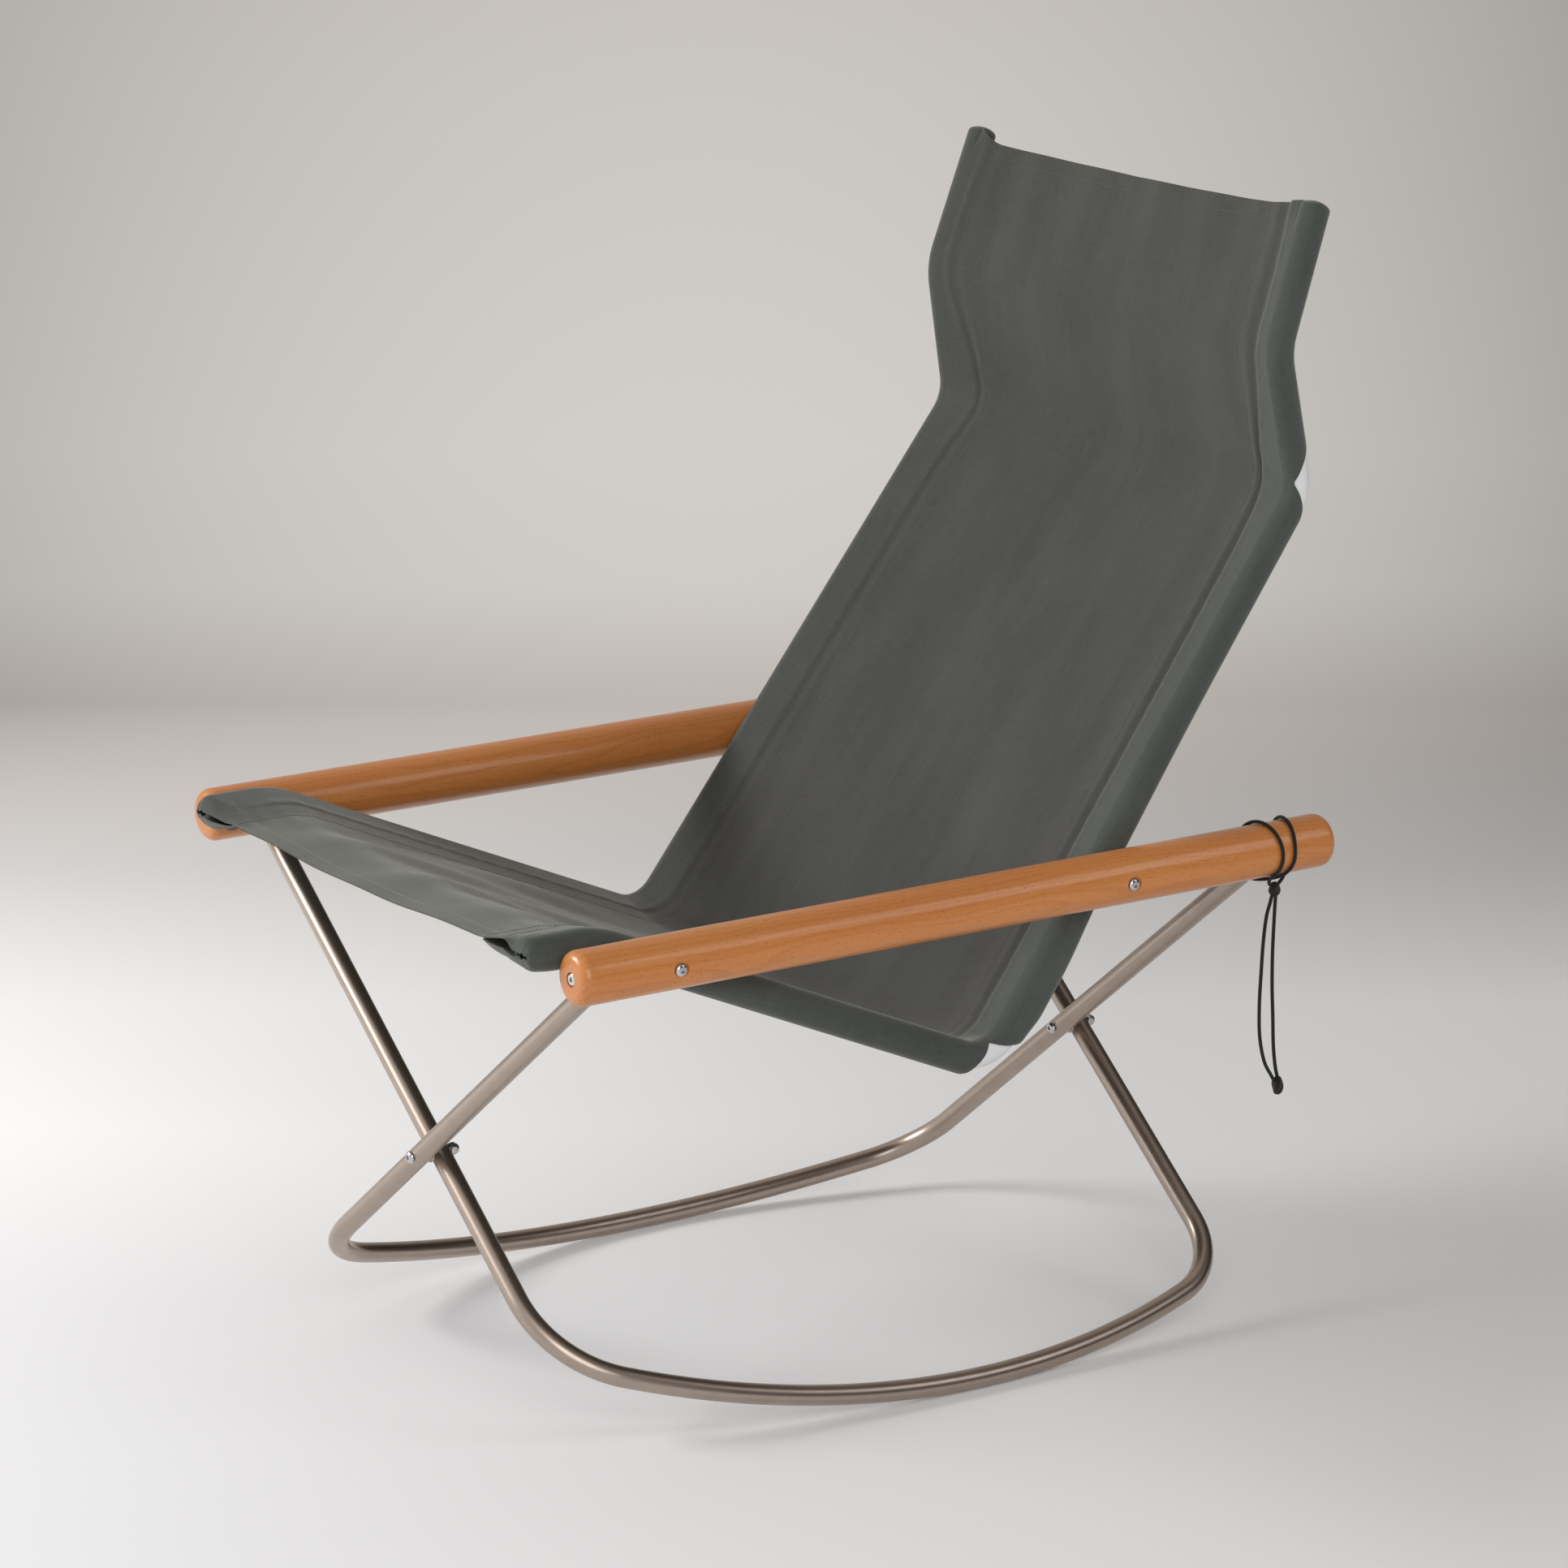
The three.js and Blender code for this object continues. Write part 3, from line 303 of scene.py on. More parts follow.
def smooth(mesh, crease=40):
    """Smooth shading, with edges sharper than crease degrees kept."""
    mesh.shade_smooth()
    mesh.set_sharp_from_angle(angle=np.radians(crease))


def make_piece(name, grids, material, outward=True, flip=False):
    """A mesh of point grids. Each grid is (points[..., rows, columns, 3], u, v): neighbours
    make quads, points in one place are merged, and u and v, in metres, are the UV map. The
    faces are turned outward unless outward is False, and flip turns all of them round."""
    corners, faces, uvs, first = [], [], [], 0
    quad = [(..., slice(None, -1), slice(None, -1)), (..., slice(None, -1), slice(1, None)),
            (..., slice(1, None), slice(1, None)), (..., slice(1, None), slice(None, -1))]
    for points, u, v in grids:
        shape = points.shape[:-1]
        count = int(np.prod(shape))
        index = first + np.arange(count).reshape(shape)
        uv = np.stack([np.broadcast_to(u, shape), np.broadcast_to(v, shape)], -1)
        faces.append(np.stack([index[part] for part in quad], -1).reshape(-1, 4))
        uvs.append(np.stack([uv[part + (slice(None),)] for part in quad], -2).reshape(-1, 2))
        corners.append(points.reshape(-1, 3))
        first += count
    mesh = bpy.data.meshes.new(name)
    mesh.from_pydata(np.concatenate(corners).tolist(), [], np.concatenate(faces).tolist())
    layer = mesh.uv_layers.new(name="UVMap")
    layer.data.foreach_set("uv", np.concatenate(uvs).astype(np.float32).ravel())
    build = bmesh.new()
    build.from_mesh(mesh)
    bmesh.ops.remove_doubles(build, verts=build.verts, dist=2e-6)
    bmesh.ops.dissolve_degenerate(build, edges=build.edges, dist=1e-7)
    if outward:
        bmesh.ops.recalc_face_normals(build, faces=build.faces)
    if flip:
        bmesh.ops.reverse_faces(build, faces=build.faces)
    build.to_mesh(mesh)
    build.free()
    mesh.materials.append(material)
    smooth(mesh)
    piece = bpy.data.objects.new(name, mesh)
    bpy.context.scene.collection.objects.link(piece)
    return piece


def rings(line, first, second, order, size, sides):
    """Rings round the points of a line, in the given order, and their angles. Each is
    line + size * (cos a * first + sin a * second)."""
    angle = np.linspace(0, 2 * np.pi, sides + 1)[None]
    around = (np.cos(angle)[..., None] * first[order][:, None]
              + np.sin(angle)[..., None] * second[order][:, None])
    return line[order][:, None] + size[:, None, None] * around, angle


def tube_grid(spot, normal, binormal, distance, radius, wall, sides):
    """A tube's outer and inner wall as one closed set of rings, with rims rounded by a step."""
    rows = np.arange(len(spot))
    order = np.r_[0, rows, rows[-1], rows[::-1], 0]
    rim = radius - EDGE_ROUND
    size = np.r_[rim, np.full(len(rows), radius), rim, np.full(len(rows), radius - wall), rim]
    points, angle = rings(spot, binormal, normal, order, size, sides)
    return points, angle * radius, distance[order][:, None]


def leg_route():
    """The bent line of a leg frame in its own plane: along the arms, and up from the bolts."""
    centre = np.array([RUNNER_LOW, RUNNER_RADIUS - RUNNER_DEPTH])
    bends = []
    for radius, inset in zip(CORNER_RADII, (CORNER_RADII[0], LEG_PITCH - CORNER_RADII[1])):
        span, across = RUNNER_RADIUS - radius, inset - RUNNER_LOW
        bends.append(np.array([inset, centre[1] - np.sqrt(span**2 - across**2)]))
    start, end = (np.arctan2(*(bend - centre)[::-1]) for bend in bends)
    top = arm_reach + LEG_END_LAP
    return np.concatenate([
        [[0, top]],
        arc(bends[0], CORNER_RADII[0], -np.pi, start),
        arc(centre, RUNNER_RADIUS, start, end)[1:],
        arc(bends[1], CORNER_RADII[1], end, 0)[1:],
        [[LEG_PITCH, top]],
    ])


def add_group(name, inputs, outputs):
    """A shader node group with named inputs, as (name, kind, value), and named outputs. With
    it come the sockets of what it is given, and the node that takes its results."""
    group = bpy.data.node_groups.new(name, "ShaderNodeTree")
    for label, kind, value in inputs:
        socket = group.interface.new_socket(label, in_out="INPUT", socket_type="NodeSocket" + kind)
        if value is not None:
            socket.default_value = value
    for label, kind in outputs:
        group.interface.new_socket(label, in_out="OUTPUT", socket_type="NodeSocket" + kind)
    return group, group.nodes.new("NodeGroupInput").outputs, group.nodes.new("NodeGroupOutput")


def noise(tree, place, scale=1.0, detail=2.0, stretch=None, **more):
    """The factor socket of a noise at place, which is stretched first if stretch is given."""
    if stretch is not None:
        place = add(tree, "Mapping", {"Vector": place, "Scale": stretch}).outputs[0]
    return add(tree, "TexNoise", {"Vector": place, "Scale": scale, "Detail": detail, **more}).outputs[0]


def bump(tree, height, distance, strength):
    """The normal socket of a Bump node."""
    return add(tree, "Bump", {"Height": height, "Distance": distance, "Strength": strength}).outputs[0]


def metal_group():
    """Fine drawn lines along a metal surface and faint clouds: two noises, one stretched."""
    group, given, result = add_group(
        "drawn_metal",
        [("Place", "Vector", None), ("Across", "Float", 5000.0), ("Along", "Float", 30.0),
         ("Colour", "Color", None), ("Cloud colour", "Color", None),
         ("Roughness", "Float", 0.3), ("Spread", "Float", 0.1)],
        [("Colour", "Color"), ("Roughness", "Float"), ("Height", "Float")],
    )
    stretch = add(group, "CombineXYZ", {0: given["Across"], 1: given["Along"]}).outputs[0]
    lines = noise(group, given["Place"], detail=3.0, stretch=stretch)
    cloud = noise(group, given["Place"], 45.0, 4.0)
    swing = calc(group, "SUBTRACT", lines, 0.5)
    rough = calc(group, "MULTIPLY_ADD", swing, given["Spread"], given["Roughness"])
    wire(group, result, {
        "Colour": mix(group, cloud, given["Colour"], given["Cloud colour"]),
        "Roughness": calc(group, "MULTIPLY_ADD", calc(group, "SUBTRACT", cloud, 0.5), 0.12, rough),
        "Height": lines,
    })
    return group


drawn_metal = metal_group()


def metal(name, colour, cloud, roughness, spread=0.1):
    """A bare or plated metal with drawn lines."""
    material, tree, shader = new_material(name)
    marks = add(tree, "Group", {
        "Place": coordinates(tree, "UV"), "Colour": colour, "Cloud colour": cloud,
        "Roughness": roughness, "Spread": spread,
    }, node_tree=drawn_metal).outputs
    wire(tree, shader, {
        "Base Color": marks["Colour"], "Roughness": marks["Roughness"], "Metallic": 1.0,
        "Normal": bump(tree, marks["Height"], 0.00001, 0.4),
    })
    return material


nickel = metal("satin_nickel", paint(186, 172, 160), paint(172, 157, 145), 0.34)

for side, word in SIDES:
    distance, flat, slope = follow(leg_route(), LEG_STEP)
    up = np.array([side * np.sin(LEG_LEAN), 0, np.cos(LEG_LEAN)])
    across = np.array([np.cos(LEG_LEAN), 0, -side * np.sin(LEG_LEAN)])
    along = np.array([0, 1, 0])
    origin = np.array([0, arm_place[word][1], fold_place[2]])
    spot = origin + flat[:, :1] * along + flat[:, 1:] * up
    normal = -slope[:, 1:] * along + slope[:, :1] * up
    binormal = np.broadcast_to(across, spot.shape)
    grid = tube_grid(spot, normal, binormal, distance, LEG_RADIUS, LEG_WALL, LEG_SIDES)
    leg = make_piece(f"leg_tube_{word}", [grid], nickel)
    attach(leg, f"{word}_frame")
    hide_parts(f"leg_frame_{word}")


# Turned and headed steel parts: bushes in the leg tops, domed scissor bolts with a hexagon
# socket, and cap nuts behind them. A thin nylon washer keeps the two frames apart.
TURNED_SIDES = 48
SOCKET_RADIUS = 0.002
SOCKET_DEPTH = 0.0018
SOCKET_ROWS = (1, 2)
BOLT_CHAMFER = 0.0005
BORE_GAP = 0.0003


def turned_grid(profile, origin, axis, flats=()):
    """A turned surface. The profile holds (distance along the axis, radius) pairs, and the
    rows named in flats are hexagons whose radius is measured to the flats."""
    profile = np.array(profile, float)
    angle = np.linspace(0, 2 * np.pi, TURNED_SIDES + 1)
    radius = np.repeat(profile[:, 1:], len(angle), 1)
    sector = (angle + np.pi / 6) % (np.pi / 3) - np.pi / 6
    radius[list(flats)] /= np.cos(sector)
    axis = unit(np.array(axis, float))
    level = unit(np.cross(axis, (0, 0, 1) if abs(axis[2]) < 0.9 else (0, 1, 0)))
    upright = np.cross(level, axis)
    points = (np.array(origin) + profile[:, :1, None] * axis
              + radius[:, :, None] * (np.cos(angle)[:, None] * level + np.sin(angle)[:, None] * upright))
    return points, angle[None] * profile[:, 1].max(), run_along(profile)[:, None]


def turned_piece(name, profile, origin, axis, material, flats=()):
    """A piece of one turned surface."""
    return make_piece(name, [turned_grid(profile, origin, axis, flats)], material)


def socket_bolt(head_radius, head_height, radius, length, point=0.0, flatness=2.0):
    """The profile of a bolt along its axis with its seat at 0: socket floor, socket wall, a head
    whose height is (1 - (r / radius)^flatness)^(1 / 2) of the full one, shank. Its shank ends
    in a chamfer, or in a point of the given length."""
    angle = np.linspace(np.arcsin(SOCKET_RADIUS * 1.3 / head_radius), np.pi / 2, 12)
    dome = [(-head_height * np.sqrt(max(0, 1 - (r / head_radius) ** flatness)), r)
            for r in head_radius * np.sin(angle)]
    top = dome[0][0]
    end = [(length, 0)] if point else [(length, radius - BOLT_CHAMFER), (length, 0)]
    return [(top + SOCKET_DEPTH, 0), (top + SOCKET_DEPTH, SOCKET_RADIUS), (top + 0.0001, SOCKET_RADIUS),
            *dome, (0, radius), (length - max(point, BOLT_CHAMFER), radius), *end]


def moulded(name, scale, dark, light, roughness):
    """A moulded plastic whose colour has a fine grain."""
    material, tree, shader = new_material(name)
    grain = noise(tree, coordinates(tree, "Object"), scale)
    wire(tree, shader, {"Base Color": ramp(tree, grain, (0.3, dark), (0.7, light)), "Roughness": roughness})
    return material


steel = metal("bright_steel_finish", paint(214, 214, 216), paint(196, 196, 200), 0.24, 0.06)

nylon = moulded("nylon_finish", 900.0, paint(206, 203, 194), paint(226, 224, 216), 0.55)

BUSH_RADIUS = 0.005
BUSH_BORE = 0.0033
BUSH_HALF = 0.00885
leg_rows = {"front": 0.0, "rear": LEG_PITCH}
for side, word in SIDES:
    for end, offset in leg_rows.items():
        bush = turned_piece(
            f"leg_bush_turned_{word}_{end}",
            [(-BUSH_HALF, BUSH_BORE), (-BUSH_HALF, BUSH_RADIUS - EDGE_ROUND),
             (EDGE_ROUND - BUSH_HALF, BUSH_RADIUS), (BUSH_HALF - EDGE_ROUND, BUSH_RADIUS),
             (BUSH_HALF, BUSH_RADIUS - EDGE_ROUND), (BUSH_HALF, BUSH_BORE), (-BUSH_HALF, BUSH_BORE)],
            arm_place[word] + np.array([0, offset, 0]), (0, 1, 0), steel,
        )
        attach(bush, f"{word}_frame")
        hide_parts(f"leg_bush_{word}_{end}")

SCISSOR_HEAD = (0.00525, 0.0032)
SCISSOR_RADIUS = 0.003
SCISSOR_LENGTH = 0.0422
SCISSOR_SEAT = 0.0088
NUT_FLATS = 0.005
NUT_HEIGHT = 0.005
NUT_CHAMFER = 0.0006
NUT_THREAD = 0.0048
for end, offset in leg_rows.items():
    seat = fold_place + np.array([0, offset - SCISSOR_SEAT, 0])
    bolt = turned_piece(f"scissor_bolt_turned_{end}",
                        socket_bolt(*SCISSOR_HEAD, SCISSOR_RADIUS, SCISSOR_LENGTH),
                        seat, (0, 1, 0), steel, SOCKET_ROWS)
    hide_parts(f"scissor_bolt_{end}")

    low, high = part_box(f"scissor_washer_{end}")
    middle = (np.array(low) + np.array(high)) / 2
    half, outer, bore = (high.y - low.y) / 2, (high.x - low.x) / 2, SCISSOR_RADIUS + BORE_GAP
    washer = turned_piece(
        f"scissor_washer_turned_{end}",
        [(-half, bore), (-half, outer - half / 2), (0, outer), (half, outer - half / 2),
         (half, bore), (-half, bore)],
        middle, (0, 1, 0), nylon,
    )
    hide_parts(f"scissor_washer_{end}")

    low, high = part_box(f"scissor_cap_nut_{end}")
    start = np.array([fold_place[0], low.y, fold_place[2]])
    dome = [(NUT_HEIGHT + (high.y - low.y - NUT_HEIGHT) * np.sin(a), NUT_FLATS * 0.93 * np.cos(a))
            for a in np.linspace(0, np.pi / 2, 9)]
    nut = turned_piece(
        f"scissor_cap_nut_turned_{end}",
        [(NUT_THREAD, 0), (NUT_THREAD, bore), (0, bore), (0, NUT_FLATS * 0.96), (NUT_CHAMFER, NUT_FLATS),
         (NUT_HEIGHT - NUT_CHAMFER, NUT_FLATS), (NUT_HEIGHT, NUT_FLATS * 0.97), *dome],
        start, (0, 1, 0), steel, flats=(4, 5),
    )
    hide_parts(f"scissor_cap_nut_{end}")
    for piece in (bolt, washer, nut):
        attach(piece, "left_frame")


# Arms: round beech bars, 44 mm thick, with softly rounded ends, oiled and lacquered. A slot
# in the lower inner side of each end takes the leg, and bolts sit in shallow recesses.
ARM_RADIUS = 0.022
ARM_EDGE = 0.0085
SLOT_CLEARANCE = 0.00075
LEAN_FOLDED = np.radians(11.2)
ARM_CREASE = 35
SCREW_HEAD = (0.0055, 0.003)
SCREW_RADIUS = 0.003
SCREW_HOLE, SCREW_CUT = 0.05, 0.004
SIDE_HEAD = (0.00525, 0.003)
SIDE_LEAN = np.radians(2.3)
SIDE_BORE = 0.0033
SIDE_HOLE, SIDE_CUT = 0.06, 0.01
RECESS = 0.0014
GRAIN_TURN = {"left": (0.30, -0.055, 0.030), "right": (-0.35, 0.060, 0.020)}
YEARS_PER_METRE = 210.0


def beech_group():
    """Beech: year rings as distance from a pith line beside the bar, bent by slow noise, with
    short dark flecks along the grain and slow patches of redder wood."""
    group, given, result = add_group(
        "beech_grain",
        [("Place", "Vector", None), ("Light", "Color", None), ("Dark", "Color", None),
         ("Fleck", "Color", None)],
        [("Colour", "Color"), ("Roughness", "Float"), ("Height", "Float")],
    )
    place = given["Place"]
    parts = add(group, "SeparateXYZ", {0: place}).outputs
    x2 = calc(group, "MULTIPLY", parts[0], parts[0])
    z2 = calc(group, "MULTIPLY", parts[2], parts[2])
    pith = calc(group, "SQRT", calc(group, "ADD", x2, z2))
    bend = noise(group, place, 2.2, 2.0, stretch=(9.0, 1.6, 9.0))
    ring = calc(group, "MULTIPLY_ADD", bend, 0.035, pith)
    year = calc(group, "FRACT", calc(group, "MULTIPLY", ring, YEARS_PER_METRE))
    late = ramp(group, year, (0.0, 0.15), (0.55, 0.3), (0.9, 1), (1.0, 0.15))
    cloud = noise(group, place, 1.0, 4.0, stretch=(30.0, 3.0, 30.0))
    fibre = noise(group, place, 1.0, 3.0, stretch=(1400.0, 45.0, 1400.0))
    fleck = noise(group, place, 1.0, 1.0, stretch=(900.0, 240.0, 900.0))
    spots = ramp(group, fleck, (0.62, 0), (0.72, 1))
    depth = calc(group, "MULTIPLY", late, 0.30)
    depth = calc(group, "MULTIPLY_ADD", cloud, 0.75, depth)
    depth = calc(group, "MULTIPLY_ADD", fibre, 0.22, depth)
    depth = calc(group, "SUBTRACT", depth, 0.32, clamp=True)
    wood = mix(group, depth, given["Light"], given["Dark"])
    wire(group, result, {
        "Colour": mix(group, calc(group, "MULTIPLY", spots, 0.35), wood, given["Fleck"]),
        "Roughness": calc(group, "MULTIPLY_ADD", fibre, 0.16, 0.34),
        "Height": calc(group, "SUBTRACT", fibre, spots),
    })
    return group


beech_grain = beech_group()


def beech(word):
    """The wood of one arm, with its own pith line beside the bar."""
    material, tree, shader = new_material(f"beech_{word}")
    tilt, shift_x, shift_z = GRAIN_TURN[word]
    middle = arm_place[word]
    place = add(tree, "Mapping", {
        "Vector": coordinates(tree, "Object"),
        "Location": (shift_x - middle[0], 0.0, shift_z - middle[2]),
        "Rotation": (0.02 * tilt, 0.0, 0.06 * tilt),
    })
    grain = add(tree, "Group", {
        "Place": place.outputs[0], "Light": paint(215, 139, 70), "Dark": paint(180, 97, 40),
        "Fleck": paint(122, 64, 32),
    }, node_tree=beech_grain).outputs
    wire(tree, shader, {
        "Base Color": grain["Colour"], "Roughness": grain["Roughness"],
        "Normal": bump(tree, grain["Height"], 0.00003, 0.5),
        "Coat Weight": 0.45, "Coat Roughness": 0.14,
    })
    return material


def quarter_round(centre, size):
    """Points of a quarter ellipse round centre, each (along, radius)."""
    angle = np.linspace(0, np.pi / 2, 7)
    return [(centre[0] + size[0] * np.sin(a), centre[1] + size[1] * np.cos(a)) for a in angle]


def prism(outline, low, high):
    """A cutter: an outline in XZ carried along Y from low to high, with its ends closed."""
    loop = np.concatenate([outline, outline[:1]])
    centre = outline.mean(0)
    rows = []
    for y, size in ((low, 0), (low, 1), (high, 1), (high, 0)):
        ring = centre + size * (loop - centre)
        rows.append(np.stack([ring[:, 0], np.full(len(ring), y), ring[:, 1]], 1))
    return np.array(rows), 0.0, 0.0


def slot_outline(side):
    """The leg's room in the arm, from the open lean to the folded lean, about the pivot."""
    half = LEG_RADIUS + SLOT_CLEARANCE
    leans = (LEG_LEAN, LEAN_FOLDED)
    down = [np.array([-side * np.sin(a), -np.cos(a)]) for a in leans]
    across = [sign * half * np.array([-side * np.cos(a), np.sin(a)]) for a, sign in zip(leans, (1, -1))]
    far = 3 * ARM_RADIUS
    return [across[0], across[0] + far * down[0], across[1] + far * down[1], across[1]]


def apply_modifiers(piece, crease):
    """Puts the mesh that the piece's modifiers give in the place of its own."""
    graph = bpy.context.evaluated_depsgraph_get()
    mesh = bpy.data.meshes.new_from_object(piece.evaluated_get(graph))
    piece.modifiers.clear()
    old, piece.data = piece.data, mesh
    bpy.data.meshes.remove(old)
    smooth(mesh, crease)


def cut_away(piece, cutters, crease):
    """Takes the cutters out of the piece by Boolean modifiers."""
    for cutter in cutters:
        change = piece.modifiers.new("cut", "BOOLEAN")
        change.object, change.operation, change.solver = cutter, "DIFFERENCE", "EXACT"
    apply_modifiers(piece, crease)
    for cutter in cutters:
        bpy.data.objects.remove(cutter)


def stepped_hole(above, head, seat, bore, depth):
    """The profile of the cutter for a screw's hole: it starts above the face, is as wide as the
    head down to its seat, and is narrow from there."""
    return [(-above, 0), (-above, head), (seat, head), (seat, bore), (depth, bore), (depth, 0)]


def on_side_bolt(side, node, radius):
    """Where a node on the line of a side bolt starts, the way it points, and its length."""
    low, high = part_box(node)
    axis = np.array([-side * np.cos(SIDE_LEAN), 0, -np.sin(SIDE_LEAN)])
    outer = high.x if side > 0 else low.x
    start = np.array([outer, (low.y + high.y) / 2, high.z - radius * np.cos(SIDE_LEAN)])
    return start, axis, (high.x - low.x) / np.cos(SIDE_LEAN)


for side, word in SIDES:
    low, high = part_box(f"armrest_{word}")
    centre = arm_place[word]
    flat = ARM_RADIUS - ARM_EDGE
    length = high.y - low.y
    bar_rows = np.linspace(ARM_EDGE, length - ARM_EDGE, 121)[1:-1]
    profile = [(0, 0), (0, flat / 2), *quarter_round((ARM_EDGE, flat), (-ARM_EDGE, ARM_EDGE))[::-1],
               *[(y, ARM_RADIUS) for y in bar_rows],
               *quarter_round((length - ARM_EDGE, flat), (ARM_EDGE, ARM_EDGE)),
               (length, flat / 2), (length, 0)]
    wood = beech(word)
    bar = turned_piece(f"beech_arm_{word}", profile, (centre[0], low.y, centre[2]), (0, 1, 0), wood)
    grids = []
    half = LEG_RADIUS + SLOT_CLEARANCE
    pocket = np.hypot(LEG_END_LAP, LEG_RADIUS) + SLOT_CLEARANCE
    for offset in leg_rows.values():
        y = centre[1] + offset
        grids.append(prism(np.array(slot_outline(side)) + centre[[0, 2]], y - half, y + half))
        grids.append(turned_grid([(-half, 0), (-half, pocket), (half, pocket), (half, 0)],
                                 (centre[0], y, centre[2]), (0, 1, 0)))
    for face, inward in ((low.y, 1), (high.y, -1)):
        hole = stepped_hole(SCREW_CUT, SCREW_HEAD[0] + BORE_GAP, SCREW_HEAD[1] + BORE_GAP,
                            SCREW_RADIUS, SCREW_HOLE)
        grids.append(turned_grid(hole, (centre[0], face, centre[2]), (0, inward, 0)))
    for end in leg_rows:
        start, axis, _ = on_side_bolt(side, f"side_bolt_{word}_{end}", SIDE_HEAD[0])
        hole = stepped_hole(SIDE_CUT, SIDE_HEAD[0] + RECESS, SIDE_HEAD[1] + BORE_GAP,
                            SIDE_BORE, SIDE_HOLE)
        grids.append(turned_grid(hole, start, axis))
    cutters = [make_piece(f"cutter_{number}", [grid], wood) for number, grid in enumerate(grids)]
    cut_away(bar, cutters, ARM_CREASE)
    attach(bar, f"{word}_arm")
    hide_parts(f"armrest_{word}")


# Arm end screws and side bolts: steel with domed heads and hexagon sockets. The end screws
# hold the legs, and the side bolts go through the arm into inserts in the side tubes.
SCREW_POINT = 0.005
INSERT_RADIUS = 0.0045
INSERT_LENGTH = 0.01
for side, word in SIDES:
    for end, inward in (("front", 1), ("rear", -1)):
        low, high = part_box(f"arm_end_screw_{word}_{end}")
        face = low.y if inward > 0 else high.y
        shank = high.y - low.y - SCREW_HEAD[1]
        seat = (arm_place[word][0], face + inward * SCREW_HEAD[1], arm_place[word][2])
        screw = turned_piece(f"end_screw_turned_{word}_{end}",
                             socket_bolt(*SCREW_HEAD, SCREW_RADIUS, shank, SCREW_POINT, flatness=9),
                             seat, (0, inward, 0), steel, SOCKET_ROWS)
        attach(screw, f"{word}_arm")
        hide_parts(f"arm_end_screw_{word}_{end}")

        start, axis, length = on_side_bolt(side, f"side_bolt_{word}_{end}", SIDE_HEAD[0])
        bolt = turned_piece(f"side_bolt_turned_{word}_{end}",
                            socket_bolt(*SIDE_HEAD, SCREW_RADIUS, length - SIDE_HEAD[1], flatness=3.2),
                            start + SIDE_HEAD[1] * axis, axis, steel, SOCKET_ROWS)
        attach(bolt, f"{word}_arm")
        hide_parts(f"side_bolt_{word}_{end}")

        start, axis, _ = on_side_bolt(side, f"side_bolt_insert_{word}_{end}", INSERT_RADIUS)
        insert = turned_piece(
            f"side_insert_turned_{word}_{end}",
            [(0, SIDE_BORE), (0, INSERT_RADIUS), (INSERT_LENGTH, INSERT_RADIUS),
             (INSERT_LENGTH, SIDE_BORE), (0, SIDE_BORE)],
            start, axis, steel,
        )
        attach(insert, f"{word}_arm")
        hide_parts(f"side_bolt_insert_{word}_{end}")


# Side tubes: steel tube, 22 mm across and painted white, bent into a level front end, the
# seat, the back, the neck and the head. A black plastic plug closes each end.
SIDE_RADIUS = 0.011
SIDE_WALL = 0.0015
SIDE_STEP, SIDE_SIDES = 0.003, 40
SIDE_X = 0.2505
SIDE_Z = 0.41963
SIDE_FRONT = (-0.0454, 0.019)
SIDE_CORNERS = (
    ((0.0085, 0.019), 0.090), ((0.37635, -0.14094), 0.038),
    ((0.69296, 0.28383), 0.045), ((0.67212, 0.40201), 0.060),
)
SIDE_TOP = (0.71103, 0.51129)


def rounded(start, corners, end):
    """A line through corners whose bends are arcs of the given radii, tangent to both sides."""
    places = np.array([start, *[place for place, _ in corners], end])
    points = [places[:1]]
    for number, (_, radius) in enumerate(corners, 1):
        corner = places[number]
        inward, outward = places[number - 1] - corner, places[number + 1] - corner
        inward, outward = unit(inward), unit(outward)
        half = np.arccos(inward @ outward) / 2
        middle = unit(inward + outward)
        centre = corner + middle * radius / np.sin(half)
        first = corner + inward * radius / np.tan(half) - centre
        turn = (np.pi - 2 * half) * -np.sign(inward[0] * outward[1] - inward[1] * outward[0])
        start_angle = np.arctan2(first[1], first[0])
        points.append(arc(centre, radius, start_angle, start_angle + turn))
    points.append(places[-1:])
    return np.concatenate(points)


def beside(side, dx, n, spot, slope, onward=0):
    """Points near a side tube: dx outwards from its axis, n square to it towards the sitter,
    and onward along it. The tube's plane leans outwards at the bottom, so height draws it in."""
    level = spot[..., 0] + onward * slope[..., 0] - n * slope[..., 1]
    rise = spot[..., 1] + onward * slope[..., 1] + n * slope[..., 0]
    x = side * (SIDE_X + dx - rise * np.sin(SIDE_LEAN))
    parts = np.broadcast_arrays(x, fold_place[1] + level, SIDE_Z + rise * np.cos(SIDE_LEAN))
    return np.stack(parts, -1)


white_paint, tree, shader = new_material("white_paint")
orange = noise(tree, coordinates(tree, "UV"), 420.0)
stain = noise(tree, coordinates(tree, "Object"), 30.0, 4.0)
wire(tree, shader, {
    "Base Color": ramp(tree, stain, (0.3, paint(232, 232, 235)), (0.7, paint(243, 243, 245))),
    "Roughness": calc(tree, "MULTIPLY_ADD", stain, 0.15, 0.25),
    "Normal": bump(tree, orange, 0.00005, 0.3),
})
black_plastic = moulded("black_plastic_finish", 1500.0, paint(24, 24, 25), paint(34, 34, 35), 0.5)

